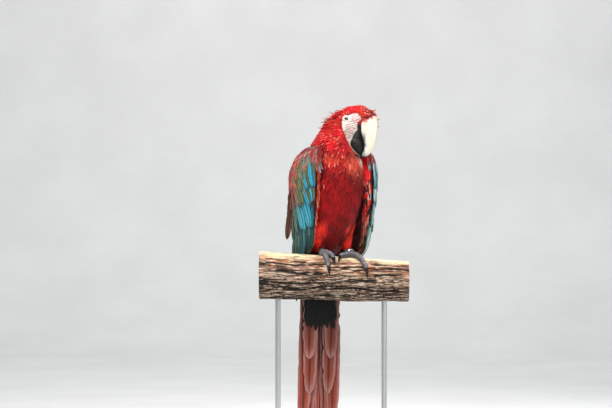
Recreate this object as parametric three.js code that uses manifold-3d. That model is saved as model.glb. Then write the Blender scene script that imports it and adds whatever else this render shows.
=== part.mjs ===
// A green-winged macaw, life size, perched on a short length of weathered branch that a plain
// display stand holds up. Millimetres, +Z up. The origin is the middle of the stand's underside.
// The bird faces -Y, turned a little towards +X, with its head turned further that way.
import * as THREE from "three";
import { mergeVertices } from "three/addons/utils/BufferGeometryUtils.js";
import Module from "manifold-3d";

const wasm = await Module();
wasm.setup();

// ---- driving dimensions ------------------------------------------------------------------
const GAP = 0.3; // between pieces that touch
const SMALLEST_EDGE = 0.02; // slivers that joining leaves are merged away
const deg = THREE.MathUtils.degToRad;

const BASE = { width: 330, depth: 280, height: 20, corner: 26, bevel: 3 };
const ROD = { radius: 6, spread: 122, flangeRadius: 17, flangeHeight: 5 };
const PERCH = {
  left: -165,
  right: 178,
  radiusLeft: 55,
  radiusRight: 47,
  fall: -0.045, // drop for each millimetre towards +X
  topHeight: 563, // the top of the perch under the bird
};
const BIRD = { x: 6, heading: 24 }; // where it stands along the perch, and its turn towards +X

// Torso outline by height above the perch top: half width, front (-) and back (+) of the body.
const TORSO = [
  [-12, 20, 58, 94],
  [6, 35, 27, 99],
  [28, 43, 3, 99],
  [55, 51, -24, 97],
  [85, 61, -46, 94],
  [118, 67, -62, 89],
  [152, 70, -71, 82],
  [186, 70, -73, 74],
  [216, 66, -69, 66],
  [242, 58, -60, 56],
  [262, 48, -48, 44],
];

// Neck rings: centre x, y, z, half width, half depth, and the forward lean of the ring in degrees.
const NECK = [
  [0, -1, 226, 56, 57, 4],
  [2, -2, 246, 55, 55, 10],
  [8, -6, 270, 47, 49, 18],
  [13, -14, 292, 41, 43, 26],
  [17, -22, 308, 33, 35, 32],
];

// The head has its own axes: x to the bird's left, y to the back, z up, from between the eyes.
const HEAD = { at: [25, -33, 301], yaw: 33, pitch: 18, roll: 8 };
// Skull outline along the head: distance forward, half width, underside, top.
const SKULL = [
  [-40, 8, -16, 2],
  [-34, 18, -30, 15],
  [-22, 26, -40, 31],
  [-10, 30, -44, 40.5],
  [7, 31, -45, 47.5],
  [18, 29, -44, 50.5],
  [28, 25, -41, 49.5],
  [36, 20, -34, 45],
  [43, 11, -18, 37],
];
// Bill rings: forward and height of the ridge, forward and height of the cutting edge, half width.
const BILL_UPPER = [
  [28, 30, 20, -12, 20],
  [44, 36, 29, -15, 21.5],
  [59, 37, 39, -17, 20.5],
  [68.5, 24, 47, -20, 18],
  [74.5, 8, 53, -25, 16],
  [78.5, -12, 57, -32, 13.5],
  [79.5, -31, 59, -41, 10.5],
  [73.5, -50, 58, -52, 7.2],
  [56, -65, 54, -61, 2.6],
];
const BILL_LOWER = [
  [16, -14, 10, -36, 14],
  [26, -14, 18, -44, 16],
  [36, -16, 27, -51, 16.5],
  [46, -20, 38, -56, 14],
  [54, -30, 49, -58.5, 10],
  [58, -42, 56, -57, 5],
];
const EYE = { forward: 4, up: 11, side: 25.4, radius: 6.4 };
const NOSTRIL = { forward: 43, up: 31, side: 7.8, radius: 2.2 };

// The folded wing's sheet by height: front edge x, y; widest line x, y; back edge x, y; and how
// much further the left wing, which hangs a little loose, stands out.
const WING = [
  [-158, 44, 104, 44, 111, 30, 115, 0],
  [-120, 47, 99, 47, 109, 29, 115, 4],
  [-80, 49, 95, 49, 106, 28, 114, 12],
  [-55, 50, 92, 51, 102, 28, 114, 20],
  [-30, 50, 84, 56, 96, 28, 113, 29],
  [-8, 48, 64, 62, 86, 28, 112, 36],
  [12, 46, 21, 68, 73, 28, 111, 38],
  [36, 47, 2, 73, 56, 28, 109, 34],
  [65, 50, -16, 79, 43, 28, 106, 26],
  [95, 54, -33, 83, 32, 28, 102, 17],
  [130, 58, -50, 90, 22, 28, 97, 8],
  [180, 60, -58, 95, 11, 28, 86, 0],
  [215, 58, -54, 87, 4, 28, 76, 0],
  [242, 51, -45, 68, 2, 28, 64, 6],
  [262, 42, -28, 50, 3, 29, 49, 10],
];
// The wing's core under its feathers, by the share of the way down it: how far its outer and its
// inner face lie off the sheet. It ends higher at the front than at the back.
const CORE = [
  [0, -9, -18],
  [0.05, 1, -18],
  [0.13, 7, -18],
  [0.3, 9, -18],
  [0.42, 6.4, -16],
  [0.6, 4.6, -13],
  [0.8, 1.8, -12],
  [1, 1, -11],
];
const CORE_ENDS = { top: 259, front: 42, back: -22 };
// A long dark feather that has slipped out of the right wing and hangs with its flat side to the
// front: where it is rooted, how far down it hangs, and how far it stands off at its root and tip.
const STRAY = { across: 0.56, root: 168, tip: 38, half: 8.5, off: 0, swing: 17, thick: 1 };

const VANE = { ridge: 0.15, rowHeight: 60, tipRow: 9 };
// Tiers of feathers on the wing, innermost first: how many, the heights of the roots and the tips
// at the front and at the back, the places across the sheet (0 front, 1 back) of roots and tips,
// half width, height over the sheet, and what each feather lies over the one before it: tilted on
// its own length, or stacked.
const TIERS = [
  tier("primaries", 5, [70, 12], [-8, -112], [0.2, 0.62], [0.12, 0.74], 13, -9.6, 0, 2.1, 1),
  tier("secondaries", 8, [100, 60], [4, -48], [0.06, 0.94], [0.06, 0.94], 12, 2.2, -1, 0, 2.8),
  tier("greater_coverts", 8, [130, 110], [82, 40], [0.06, 0.94], [0.06, 0.94], 12, 5.2, -1, 0, 2.8),
  tier("median_coverts", 7, [190, 180], [124, 98], [0.06, 0.94], [0.06, 0.94], 13, 8.2, -1, 0, 2.8),
];

function tier(name, count, root, tip, from, to, half, lift, roll, stack, thick) {
  return { name, count, root, tip, from, to, half, lift, roll, stack, thick };
}

// Tail pairs from the middle outwards: half spacing at the root and at the tip, height of the tip.
const TAIL_PAIRS = [
  [9, 14, -520],
  [18, 28, -487],
  [26, 37, -446],
  [31, 38, -398],
  [25, 24, -326],
  [30, 27, -242],
];
// The fleshy root of the tail: heights, half widths and half depths.
const TAIL_ROOT = [
  [24, 24, 16],
  [4, 30, 15],
  [-14, 27, 11.5],
  [-36, 14, 4],
];
const TAIL = { root: -6, half: 19.5, pitch: 1.15, top: 5.8 };
// The line that the tail hangs along, by height: distance back from the feet, and to the left.
const TAIL_LINE = [
  [-530, 118, 5],
  [-300, 107, 9],
  [-120, 98, 9],
  [-40, 92, 6],
  [30, 82, 0],
];
const TAIL_COVERTS = { count: 5, half: 12, spacing: 10, root: 0, tip: -92, lift: 9.6 };

// Feet, in the stand's own axes: where the foot sits along the perch, and for each toe the places
// along the perch and the angles over it (0 top, + to the front) of its root, middle and end.
const TOE = { root: 7.8, end: 5.6, claw: 3.6, clawLength: 19 };
const FEET = {
  right: {
    x: -18,
    heel: [-27, 27, 21],
    toes: [
      { name: "outer_front", x: [-16, -11, -6], angle: [4, 36, 62] },
      { name: "inner_front", x: [-13, -1, 5], angle: [2, 19, 33] },
      { name: "outer_back", x: [-22, -32, -38], angle: [-8, -32, -50] },
      { name: "inner_back", x: [-17, -11, -7], angle: [-8, -28, -44] },
    ],
  },
  left: {
    x: 50,
    heel: [36, 23, 16],
    toes: [
      { name: "outer_front", x: [54, 70, 79], angle: [5, 32, 60] },
      { name: "inner_front", x: [45, 31, 20], angle: [3, 13, 21] },
      { name: "outer_back", x: [52, 60, 65], angle: [-8, -36, -60] },
      { name: "inner_back", x: [46, 40, 34], angle: [-8, -36, -58] },
    ],
  },
};
const BAND = { inner: 7.6, outer: 9, width: 6, down: 0.6 };

// ---- helpers -----------------------------------------------------------------------------
const v3 = (x, y, z) => new THREE.Vector3(x, y, z);

// Smooth interpolation of a table whose rows start with the value looked up, in rising order.
function lookUp(table, at) {
  const last = table.length - 1;
  let i = 0;
  while (i < last - 1 && at > table[i + 1][0]) i++;
  const row = (k) => table[Math.min(Math.max(k, 0), last)];
  const [p0, p1, p2, p3] = [row(i - 1), row(i), row(i + 1), row(i + 2)];
  const span = p2[0] - p1[0];
  const t = THREE.MathUtils.clamp((at - p1[0]) / span, 0, 1);
  return p1.slice(1).map((start, k) => {
    const end = p2[k + 1];
    const slopeIn = p1 === p0 ? end - start : ((end - p0[k + 1]) / (p2[0] - p0[0])) * span;
    const slopeOut = p2 === p3 ? end - start : ((p3[k + 1] - start) / (p3[0] - p1[0])) * span;
    const [t2, t3] = [t * t, t * t * t];
    return (
      (2 * t3 - 3 * t2 + 1) * start +
      (t3 - 2 * t2 + t) * slopeIn +
      (3 * t2 - 2 * t3) * end +
      (t3 - t2) * slopeOut
    );
  });
}

// A table with a running number put before each row, so that lookUp can walk along it.
const numbered = (table) => table.map((row, i) => [i, ...row]);

// A closed body through rings of points that all have the same count, with fanned ends.
function loft(rings) {
  const n = rings[0].length;
  const points = rings.flat();
  const centreOf = (ring) =>
    ring.reduce((sum, p) => sum.add(p), v3(0, 0, 0)).multiplyScalar(1 / n);
  const first = points.push(centreOf(rings[0])) - 1;
  const last = points.push(centreOf(rings.at(-1))) - 1;
  const faces = [];
  for (let r = 0; r < rings.length - 1; r++) {
    for (let k = 0; k < n; k++) {
      const [a, b] = [r * n + k, r * n + ((k + 1) % n)];
      faces.push(a, b, a + n, b, b + n, a + n);
    }
  }
  const top = (rings.length - 1) * n;
  for (let k = 0; k < n; k++) {
    const next = (k + 1) % n;
    faces.push(first, next, k);
    faces.push(last, top + k, top + next);
  }
  return geometryFrom(points, faces);
}

function geometryFrom(points, faces) {
  const geometry = new THREE.BufferGeometry().setFromPoints(points);
  geometry.setIndex(faces);
  return geometry;
}

// A geometry as a manifold-3d solid, turned inside out where its faces point inwards.
function solid(geometry) {
  const bare = geometry.clone();
  bare.deleteAttribute("normal");
  bare.deleteAttribute("uv");
  const merged = mergeVertices(bare, 1e-4);
  const make = (triVerts) =>
    new wasm.Manifold(
      new wasm.Mesh({
        numProp: 3,
        vertProperties: merged.attributes.position.array,
        triVerts,
      }),
    );
  const made = make(new Uint32Array(merged.index.array));
  return made.volume() > 0 ? made : make(new Uint32Array(merged.index.array).reverse());
}

const join = (solids) => wasm.Manifold.union(solids);

// The solid made larger by the gap on every side.
function grown(body, by = GAP) {
  const steps = [-by, by].flatMap((d) => [
    [d, 0, 0],
    [0, d, 0],
    [0, 0, d],
  ]);
  return join([body, ...steps.map((step) => body.translate(step))]);
}

// The largest closed surface of a solid, with sealed hollows filled.
function largest(body) {
  const parts = body.decompose();
  return parts.reduce((best, part) => (part.volume() > best.volume() ? part : best));
}

function meshOf(name, body, colour, roughness = 0.8, metalness = 0) {
  const { vertProperties, triVerts, numProp } = largest(body).simplify(SMALLEST_EDGE).getMesh();
  const geometry = new THREE.BufferGeometry();
  geometry.setAttribute("position", new THREE.BufferAttribute(vertProperties, numProp));
  geometry.setIndex(new THREE.BufferAttribute(triVerts, 1));
  const material = new THREE.MeshStandardMaterial({ color: colour, roughness, metalness });
  material.flatShading = true;
  const mesh = new THREE.Mesh(geometry, material);
  mesh.name = name;
  return mesh;
}

// A round tube through points with a radius at each of them.
function tube(points, radii, sides = 10, steps = 10) {
  const curve = new THREE.CatmullRomCurve3(points);
  const rings = [];
  const up = v3(0.13, 0.21, 0.97).normalize();
  for (let i = 0; i <= steps; i++) {
    const t = i / steps;
    const centre = curve.getPoint(t);
    const along = curve.getTangent(t);
    const side = v3(0, 0, 0).crossVectors(along, up).normalize();
    const over = v3(0, 0, 0).crossVectors(side, along);
    const place = t * (radii.length - 1);
    const k = Math.min(Math.floor(place), radii.length - 2);
    const radius = THREE.MathUtils.lerp(radii[k], radii[k + 1], place - k);
    rings.push(ringAround(centre, side, over, radius, radius, sides));
  }
  return loft(rings);
}

function ringAround(centre, side, over, halfSide, halfOver, count) {
  return Array.from({ length: count }, (_, k) => {
    const a = (2 * Math.PI * k) / count;
    return centre
      .clone()
      .addScaledVector(side, halfSide * Math.cos(a))
      .addScaledVector(over, halfOver * Math.sin(a));
  });
}

// A feather: place(along, across) gives a point on what it lies on and the way out from it.
function vane(place, { half, lift, roll, rows, thick }) {
  const [top, under] = [[], []];
  const steps = rows.length - 1;
  for (const along of rows) {
    for (const j of [-1, 0, 1]) {
      const { point, out } = place(along, j * half * leaf(along));
      const height = lift + roll * j * leaf(along) + VANE.ridge * (1 - Math.abs(j));
      top.push(point.clone().addScaledVector(out, height));
      under.push(point.clone().addScaledVector(out, height - thick));
    }
  }
  const low = top.length;
  const faces = [];
  const quad = (a, b, c, d) => faces.push(a, b, c, a, c, d);
  for (let i = 0; i < steps; i++) {
    for (const j of [0, 1]) {
      const a = i * 3 + j;
      faces.push(a, a + 1, a + 4, a, a + 4, a + 3);
      faces.push(low + a, low + a + 4, low + a + 1, low + a, low + a + 3, low + a + 4);
    }
    quad(i * 3, i * 3 + 3, low + i * 3 + 3, low + i * 3);
    quad(i * 3 + 5, i * 3 + 2, low + i * 3 + 2, low + i * 3 + 5);
  }
  const end = steps * 3;
  for (const j of [0, 1]) {
    quad(j + 1, j, low + j, low + j + 1);
    quad(end + j, end + j + 1, low + end + j + 1, low + end + j);
  }
  return solid(geometryFrom([...top, ...under], faces));
}

// Where a hanging feather has its rows: at shared heights, so that feathers that lie over one
// another bend alike, and close to the tip.
function rowsOf(rootZ, tipZ) {
  const length = rootZ - tipZ;
  const heights = [];
  const first = Math.ceil(rootZ / VANE.rowHeight) - 1;
  for (let k = first; k * VANE.rowHeight > tipZ + VANE.tipRow + 8; k--) {
    heights.push(k * VANE.rowHeight);
  }
  return [0, ...heights.map((z) => (rootZ - z) / length), 1 - VANE.tipRow / length, 1];
}

// Half width of a feather along its length: full by a third of the way, rounded at the tip.
const leaf = (t) => Math.min(1, 0.62 + 1.4 * t) * Math.sqrt(Math.max(1 - t ** 5, 0.02));

// ---- the bird's own shapes, in its own axes ----------------------------------------------
const headFrame = new THREE.Matrix4()
  .makeTranslation(...HEAD.at)
  .multiply(new THREE.Matrix4().makeRotationZ(deg(HEAD.yaw)))
  .multiply(new THREE.Matrix4().makeRotationX(deg(HEAD.pitch)))
  .multiply(new THREE.Matrix4().makeRotationY(deg(HEAD.roll)));

function torsoShape(grow = 0) {
  const [sides, steps] = [24, 12];
  const [low, high] = [TORSO[0][0], TORSO.at(-1)[0]];
  const rings = Array.from({ length: steps + 1 }, (_, i) => {
    const z = low + ((high - low) * i) / steps;
    const [half, front, back] = lookUp(TORSO, z);
    const centre = v3(0, (front + back) / 2, z);
    const deep = (back - front) / 2;
    return ringAround(centre, v3(1, 0, 0), v3(0, 1, 0), half + grow, deep + grow, sides);
  });
  return solid(loft(rings));
}

function neckShape(grow = 0) {
  const [sides, steps] = [24, 8];
  const table = numbered(NECK);
  const rings = Array.from({ length: steps + 1 }, (_, i) => {
    const at = (i / steps) * (NECK.length - 1);
    const [x, y, z, half, deep, lean] = lookUp(table, at);
    const back = v3(0, Math.cos(deg(lean)), Math.sin(deg(lean)));
    return ringAround(v3(x, y, z), v3(1, 0, 0), back, half + grow, deep + grow, sides);
  });
  return solid(loft(rings));
}

function skullShape(grow = 0) {
  const [sides, steps] = [24, 12];
  const [low, high] = [SKULL[0][0], SKULL.at(-1)[0]];
  const rings = Array.from({ length: steps + 1 }, (_, i) => {
    const forward = low + ((high - low) * i) / steps;
    const [half, under, top] = lookUp(SKULL, forward);
    const centre = v3(0, -forward, (under + top) / 2);
    const tall = (top - under) / 2 + grow;
    return ringAround(centre, v3(1, 0, 0), v3(0, 0, 1), half + grow, tall, sides);
  });
  return solid(loft(rings).applyMatrix4(headFrame));
}

// A half of the bill from rings whose ridge is narrower than their cutting edge.
function billShape(stations, steps, blunt, grow = 0) {
  const sides = 16;
  const table = numbered(stations);
  const rings = Array.from({ length: steps + 1 }, (_, i) => {
    const at = (i / steps) * (stations.length - 1);
    const [ridgeF, ridgeZ, edgeF, edgeZ, half] = lookUp(table, at);
    const ridge = v3(0, -ridgeF, ridgeZ);
    const edge = v3(0, -edgeF, edgeZ);
    const centre = ridge.clone().add(edge).multiplyScalar(0.5);
    const over = ridge.clone().sub(edge).multiplyScalar(0.5);
    over.setLength(over.length() + grow);
    return Array.from({ length: sides }, (_, k) => {
      const a = (2 * Math.PI * k) / sides;
      const up = Math.sin(a);
      const narrowing = 1 - blunt * Math.max(up, 0) ** 2;
      return centre
        .clone()
        .addScaledVector(over, up)
        .add(v3((half + grow) * Math.cos(a) * narrowing, 0, 0));
    });
  });
  return solid(loft(rings).applyMatrix4(headFrame));
}

function ball(radius, at, detail = 14) {
  const sphere = new THREE.SphereGeometry(radius, detail, Math.round(detail * 0.7));
  return solid(sphere.translate(at[0], at[1], at[2]).applyMatrix4(headFrame));
}

// The bare eyelid: a ring that stands out of the head round the eye.
function lid(side) {
  const torus = new THREE.TorusGeometry(EYE.radius * 0.93, 1.5, 5, 12);
  torus.rotateY((side * Math.PI) / 2).rotateZ(side * deg(8));
  torus.translate(side * (EYE.side + 3.1), -EYE.forward, EYE.up);
  return solid(torus.applyMatrix4(headFrame));
}

function thighShape(side, heel, grow = 0) {
  const rings = [
    [v3(side * 34, 12, 98), 24, 34],
    [v3(side * 35, 12, 74), 23, 31],
    [v3(side * 34, 17, 52), 20, 26],
    [v3((side * 34 + heel.x) / 2, (18 + heel.y) / 2, 34), 16, 19],
    [v3(heel.x, heel.y, heel.z + 1), 10, 11],
  ];
  return solid(
    loft(
      rings.map(([centre, half, deep]) =>
        ringAround(centre, v3(1, 0, 0), v3(0, 1, 0), half + grow, deep + grow, 16),
      ),
    ),
  );
}

// A point of the folded wing's sheet, and the way out from it. Across is 0 at the front edge.
function wingPlace(side, across, z) {
  const at = (u, height) => {
    const [fx, fy, ox, oy, bx, by, loose] = lookUp(WING, height);
    const front = v3(fx, fy, 0);
    const back = v3(bx, by, 0);
    const bulge = v3(2 * ox, 2 * oy, 0).addScaledVector(front, -0.5).addScaledVector(back, -0.5);
    const point = front.multiplyScalar((1 - u) ** 2);
    point.addScaledVector(bulge, 2 * u * (1 - u)).addScaledVector(back, u * u);
    const out = side > 0 ? loose : 0;
    return v3(side * (point.x + out), point.y, height);
  };
  const point = at(across, z);
  const acrossWay = at(across + 0.01, z).sub(at(across - 0.01, z));
  const upWay = at(across, z + 1).sub(at(across, z - 1));
  const out = v3(0, 0, 0).crossVectors(acrossWay, upWay).normalize();
  return { point, out: out.multiplyScalar(side), stretch: acrossWay.length() / 0.02 };
}

// What the feathers grow out of: a curved slab over the arm that thins downwards.
function wingCore(side) {
  const columns = 7;
  const rings = CORE.map(([down, outerLift, innerLift], i) => {
    const [outer, inner] = [[], []];
    for (let k = 0; k <= columns; k++) {
      const share = k / columns;
      const bottom = THREE.MathUtils.lerp(CORE_ENDS.front, CORE_ENDS.back, share);
      const z = THREE.MathUtils.lerp(CORE_ENDS.top, bottom, down);
      const { point, out } = wingPlace(side, 0.03 + 0.94 * share, z);
      const edge = k === 0 || k === columns ? Math.min(outerLift, 0.5) : outerLift;
      outer.push(point.clone().addScaledVector(out, edge));
      inner.unshift(point.clone().addScaledVector(out, innerLift));
    }
    return [...outer, ...inner];
  });
  return solid(loft(rings));
}

function strayFeather(side) {
  const place = (along, across) => {
    const z = THREE.MathUtils.lerp(STRAY.root, STRAY.tip, along);
    const { point, out } = wingPlace(side, STRAY.across, z);
    const off = STRAY.off + STRAY.swing * along + across;
    return { point: point.addScaledVector(out, off), out: v3(-side * out.y, side * out.x, 0) };
  };
  return vane(place, { ...STRAY, lift: 0, roll: 0, rows: rowsOf(STRAY.root, STRAY.tip) });
}

function wingShape(side) {
  const vanes = TIERS.flatMap((tier) =>
    Array.from({ length: tier.count }, (_, k) => {
      const share = k / (tier.count - 1);
      const mix = ([front, back]) => THREE.MathUtils.lerp(front, back, share);
      const [rootZ, tipZ] = [mix(tier.root), mix(tier.tip)];
      const [rootU, tipU] = [mix(tier.from), mix(tier.to)];
      const place = (along, across) => {
        const z = THREE.MathUtils.lerp(rootZ, tipZ, along);
        const u = THREE.MathUtils.lerp(rootU, tipU, along);
        const { stretch } = wingPlace(side, u, z);
        return wingPlace(side, u + across / Math.max(stretch, 40), z);
      };
      const lift = tier.lift + k * tier.stack;
      return vane(place, { ...tier, lift, rows: rowsOf(rootZ, tipZ) });
    }),
  );
  if (side < 0) vanes.push(strayFeather(side));
  return join([wingCore(side), ...vanes]);
}

// A place on the tail: x across it, and a height; out is towards the tail's back.
function tailPlace(x, z) {
  const [y, aside] = lookUp(TAIL_LINE, z);
  const slope = lookUp(TAIL_LINE, z + 2)[0] - lookUp(TAIL_LINE, z - 2)[0];
  return { point: v3(x + aside, y, z), out: v3(0, 4, -slope).normalize() };
}

function tailShape() {
  const rootRings = TAIL_ROOT.map(([z, half, deep]) =>
    ringAround(tailPlace(0, z).point, v3(1, 0, 0), v3(0, 1, 0), half, deep, 14),
  );
  const hung = (x0, x1, z0, z1, options) =>
    vane((along, across) => {
      const z = THREE.MathUtils.lerp(z0, z1, along);
      return tailPlace(THREE.MathUtils.lerp(x0, x1, along) + across, z);
    }, options);
  const feathers = TAIL_PAIRS.flatMap(([rootX, tipX, tipZ], pair) =>
    [-1, 1].map((side) =>
      hung(side * rootX, side * tipX, TAIL.root, tipZ, {
        half: TAIL.half,
        lift: TAIL.top - (2 * pair + (side > 0 ? 1 : 0)) * TAIL.pitch,
        roll: 0,
        rows: [0, 0.4, 0.8, 0.95, 1],
        thick: 0.85,
      }),
    ),
  );
  const coverts = [-1, 1].flatMap((face) =>
    Array.from({ length: TAIL_COVERTS.count }, (_, k) => {
      const place = k - (TAIL_COVERTS.count - 1) / 2;
      const x = place * TAIL_COVERTS.spacing;
      const length = 1 - 0.1 * Math.abs(place);
      return hung(x * 0.7, x, TAIL_COVERTS.root, TAIL_COVERTS.tip * length, {
        half: TAIL_COVERTS.half,
        lift: face * TAIL_COVERTS.lift,
        roll: 1.1,
        rows: [0, 0.85, 1],
        thick: 1.6,
      });
    }),
  );
  return join([solid(loft(rootRings)), ...feathers, ...coverts]);
}

// ---- perch and feet, in the stand's axes -------------------------------------------------
const perchAxis = (x) => PERCH.topHeight - perchMean(BIRD.x) + PERCH.fall * (x - BIRD.x);

function perchMean(x) {
  const along = (x - PERCH.left) / (PERCH.right - PERCH.left);
  return THREE.MathUtils.lerp(PERCH.radiusLeft, PERCH.radiusRight, along);
}

// Weathered wood: long ridges that wander round the branch. The angle is 0 on top, + in front.
function perchRadius(x, angle) {
  const drift = 0.35 * Math.sin(x / 55);
  const ridges =
    1.5 * Math.sin(5 * angle + 1.9 + drift) +
    1.1 * Math.sin(8 * angle - 0.6 + 2 * drift) +
    1.2 * Math.sin(x / 31 + 2 * angle);
  const crown = 0.5 - 0.5 * Math.cos(Math.min(Math.abs(angle) * 2, Math.PI));
  return perchMean(x) + ridges * crown;
}

function perchPoint(x, angle, over = 0) {
  const radius = perchRadius(x, angle) + over;
  return v3(x, -radius * Math.sin(angle), perchAxis(x) + radius * Math.cos(angle));
}

function perchShape(grow = 0) {
  const [sides, steps] = [26, 10];
  const rings = Array.from({ length: steps + 1 }, (_, i) => {
    const x = THREE.MathUtils.lerp(PERCH.left, PERCH.right, i / steps);
    return Array.from({ length: sides }, (_, k) => {
      const angle = (2 * Math.PI * k) / sides;
      return perchPoint(x, angle > Math.PI ? angle - 2 * Math.PI : angle, grow);
    });
  });
  return solid(loft(rings));
}

// One toe with its claw, wrapped over the perch.
function toeShapes(toe, grow = 0) {
  const path = toe.angle.map((angle, i) => {
    const radius = THREE.MathUtils.lerp(TOE.root, TOE.end, i / 2);
    return perchPoint(toe.x[i], deg(angle), radius * 0.92);
  });
  const reach = toe.angle[2] - toe.angle[1];
  const step = toe.x[2] - toe.x[1];
  const clawTurn = (TOE.clawLength / perchMean(toe.x[2])) * Math.sign(reach);
  const clawPath = [0, 0.5, 1].map((t) => {
    const lift = TOE.end * 0.9 + 2.2 * Math.sin(Math.PI * t) - 3.2 * t;
    return perchPoint(toe.x[2] + step * 0.35 * t, deg(toe.angle[2]) + clawTurn * t, lift);
  });
  const swollen = [TOE.root, 6.6, 7.4, 6.0, 6.6, 5.6, 4.6];
  return {
    toe: solid(tube(path, swollen.map((r) => r + grow), 8, 6)),
    claw: solid(tube(clawPath, [TOE.claw, 2.3, 0.5], 6, 4)),
  };
}

function footShapes(foot) {
  const heel = v3(foot.heel[0], foot.heel[1], PERCH.topHeight + foot.heel[2]);
  const sole = perchPoint(foot.x, deg(1), 7);
  const bone = [6.2, 5.6, 7.2];
  const shank = solid(tube([heel, heel.clone().lerp(sole, 0.5), sole], bone, 10, 4));
  const pad = new THREE.SphereGeometry(9.5, 10, 7).scale(1.05, 1, 0.85);
  const padAt = perchPoint(foot.x, 0, 5);
  const toes = foot.toes.map((toe) => toeShapes(toe));
  return {
    heel,
    sole,
    foot: join([shank, solid(pad.translate(padAt.x, padAt.y, padAt.z)), ...toes.map((t) => t.toe)]),
    claws: toes.map((t, i) => t.claw.subtract(toeShapes(foot.toes[i], GAP).toe)),
  };
}

function bandShape(heel, sole) {
  const profile = [
    [BAND.inner, -BAND.width / 2],
    [BAND.outer, -BAND.width / 2],
    [BAND.outer, BAND.width / 2],
    [BAND.inner, BAND.width / 2],
    [BAND.inner, -BAND.width / 2],
  ].map(([r, h]) => new THREE.Vector2(r, h));
  const ring = new THREE.LatheGeometry(profile, 20);
  const way = sole.clone().sub(heel).normalize();
  ring.applyQuaternion(new THREE.Quaternion().setFromUnitVectors(v3(0, 1, 0), way));
  const at = heel.clone().lerp(sole, BAND.down);
  return solid(ring.translate(at.x, at.y, at.z));
}

// ---- stand -------------------------------------------------------------------------------
function baseShape() {
  const [w, d, r] = [BASE.width / 2 - BASE.bevel, BASE.depth / 2 - BASE.bevel, BASE.corner];
  const outline = new THREE.Shape();
  outline.moveTo(r - w, -d);
  outline.lineTo(w - r, -d);
  outline.absarc(w - r, r - d, r, -Math.PI / 2, 0);
  outline.absarc(w - r, d - r, r, 0, Math.PI / 2);
  outline.absarc(r - w, d - r, r, Math.PI / 2, Math.PI);
  outline.absarc(r - w, r - d, r, Math.PI, 1.5 * Math.PI);
  const board = new THREE.ExtrudeGeometry(outline, {
    depth: BASE.height - 2 * BASE.bevel,
    bevelThickness: BASE.bevel,
    bevelSize: BASE.bevel,
    bevelSegments: 1,
    curveSegments: 4,
  });
  return solid(board.translate(0, 0, BASE.bevel));
}

function rodShape(x) {
  const bottom = BASE.height + GAP;
  const profile = [
    [0, bottom],
    [ROD.flangeRadius, bottom],
    [ROD.flangeRadius, bottom + ROD.flangeHeight - 1],
    [ROD.flangeRadius - 1, bottom + ROD.flangeHeight],
    [ROD.radius, bottom + ROD.flangeHeight],
    [ROD.radius, perchAxis(x)],
    [0, perchAxis(x)],
  ].map(([r, h]) => new THREE.Vector2(r, h));
  return solid(new THREE.LatheGeometry(profile, 16).rotateX(Math.PI / 2).translate(x, 0, 0));
}

// ---- assembly ----------------------------------------------------------------------------
// Everything above the given plane of a solid, or below it, less half a gap.
function sideOf(body, at, normal, above) {
  const size = 900;
  const box = new THREE.BoxGeometry(size, size, size);
  const way = v3(...normal).normalize().multiplyScalar(above ? 1 : -1);
  box.translate(0, 0, size / 2 + GAP / 2);
  box.applyQuaternion(new THREE.Quaternion().setFromUnitVectors(v3(0, 0, 1), way));
  return body.intersect(solid(box.translate(...at)));
}

const birdFrame = new THREE.Matrix4()
  .makeTranslation(BIRD.x, 0, PERCH.topHeight)
  .multiply(new THREE.Matrix4().makeRotationZ(deg(BIRD.heading)));
const toBird = birdFrame.clone().invert();
const inBird = (body) => body.transform(toBird.toArray());
const inStand = (body) => body.transform(birdFrame.toArray());

const group = new THREE.Group();
const bird = new THREE.Group();
bird.position.set(BIRD.x, 0, PERCH.topHeight);
bird.rotation.z = deg(BIRD.heading);
group.add(bird);

const RED = 0xa51d20;
const perch = perchShape();
const perchRoom = perchShape(GAP);
group.add(meshOf("perch", perch, 0x9a7f63, 0.9));
group.add(meshOf("stand_base", baseShape(), 0x4a3527, 0.5));
for (const [name, x] of [["left", ROD.spread], ["right", -ROD.spread]]) {
  group.add(meshOf("stand_rod_" + name, rodShape(x).subtract(perchRoom), 0xb8bcc0, 0.3, 1));
}

const [neckLow, neckHigh] = [
  { at: [0, -4, 240], normal: [0, -0.12, 1] },
  { at: [10, -14, 284], normal: [0.1, -0.42, 1] },
];
const flesh = join([torsoShape(), neckShape(), skullShape()]);
const fleshRoom = join([torsoShape(GAP), neckShape(GAP), skullShape(GAP)]);
const eyeBall = (side, grow = 0) =>
  ball(EYE.radius + grow, [side * EYE.side, -EYE.forward, EYE.up], 10);

const headFlesh = join([sideOf(flesh, neckHigh.at, neckHigh.normal, true), lid(1), lid(-1)]);
const sockets = join([eyeBall(1, GAP), eyeBall(-1, GAP)]);
bird.add(meshOf("head", headFlesh.subtract(sockets), RED));
bird.add(meshOf("eye_left", eyeBall(1), 0xe8d9a0, 0.1));
bird.add(meshOf("eye_right", eyeBall(-1), 0xe8d9a0, 0.1));
const neck = sideOf(flesh, neckLow.at, neckLow.normal, true);
bird.add(meshOf("neck", sideOf(neck, neckHigh.at, neckHigh.normal, false), RED));
const torso = sideOf(flesh, neckLow.at, neckLow.normal, false);
bird.add(meshOf("torso", torso, RED));

const billUpper = billShape(BILL_UPPER, 12, 0.55);
const nostrils = [1, -1].map((side) =>
  ball(NOSTRIL.radius, [side * NOSTRIL.side, -NOSTRIL.forward, NOSTRIL.up], 8),
);
const billLower = billShape(BILL_LOWER, 7, 0.1).subtract(billShape(BILL_UPPER, 12, 0.55, GAP));
bird.add(meshOf("bill_upper", billUpper.subtract(fleshRoom).subtract(join(nostrils)), 0xeee6d8, 0.4));
bird.add(meshOf("bill_lower", billLower.subtract(fleshRoom), 0x24211f, 0.45));

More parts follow.
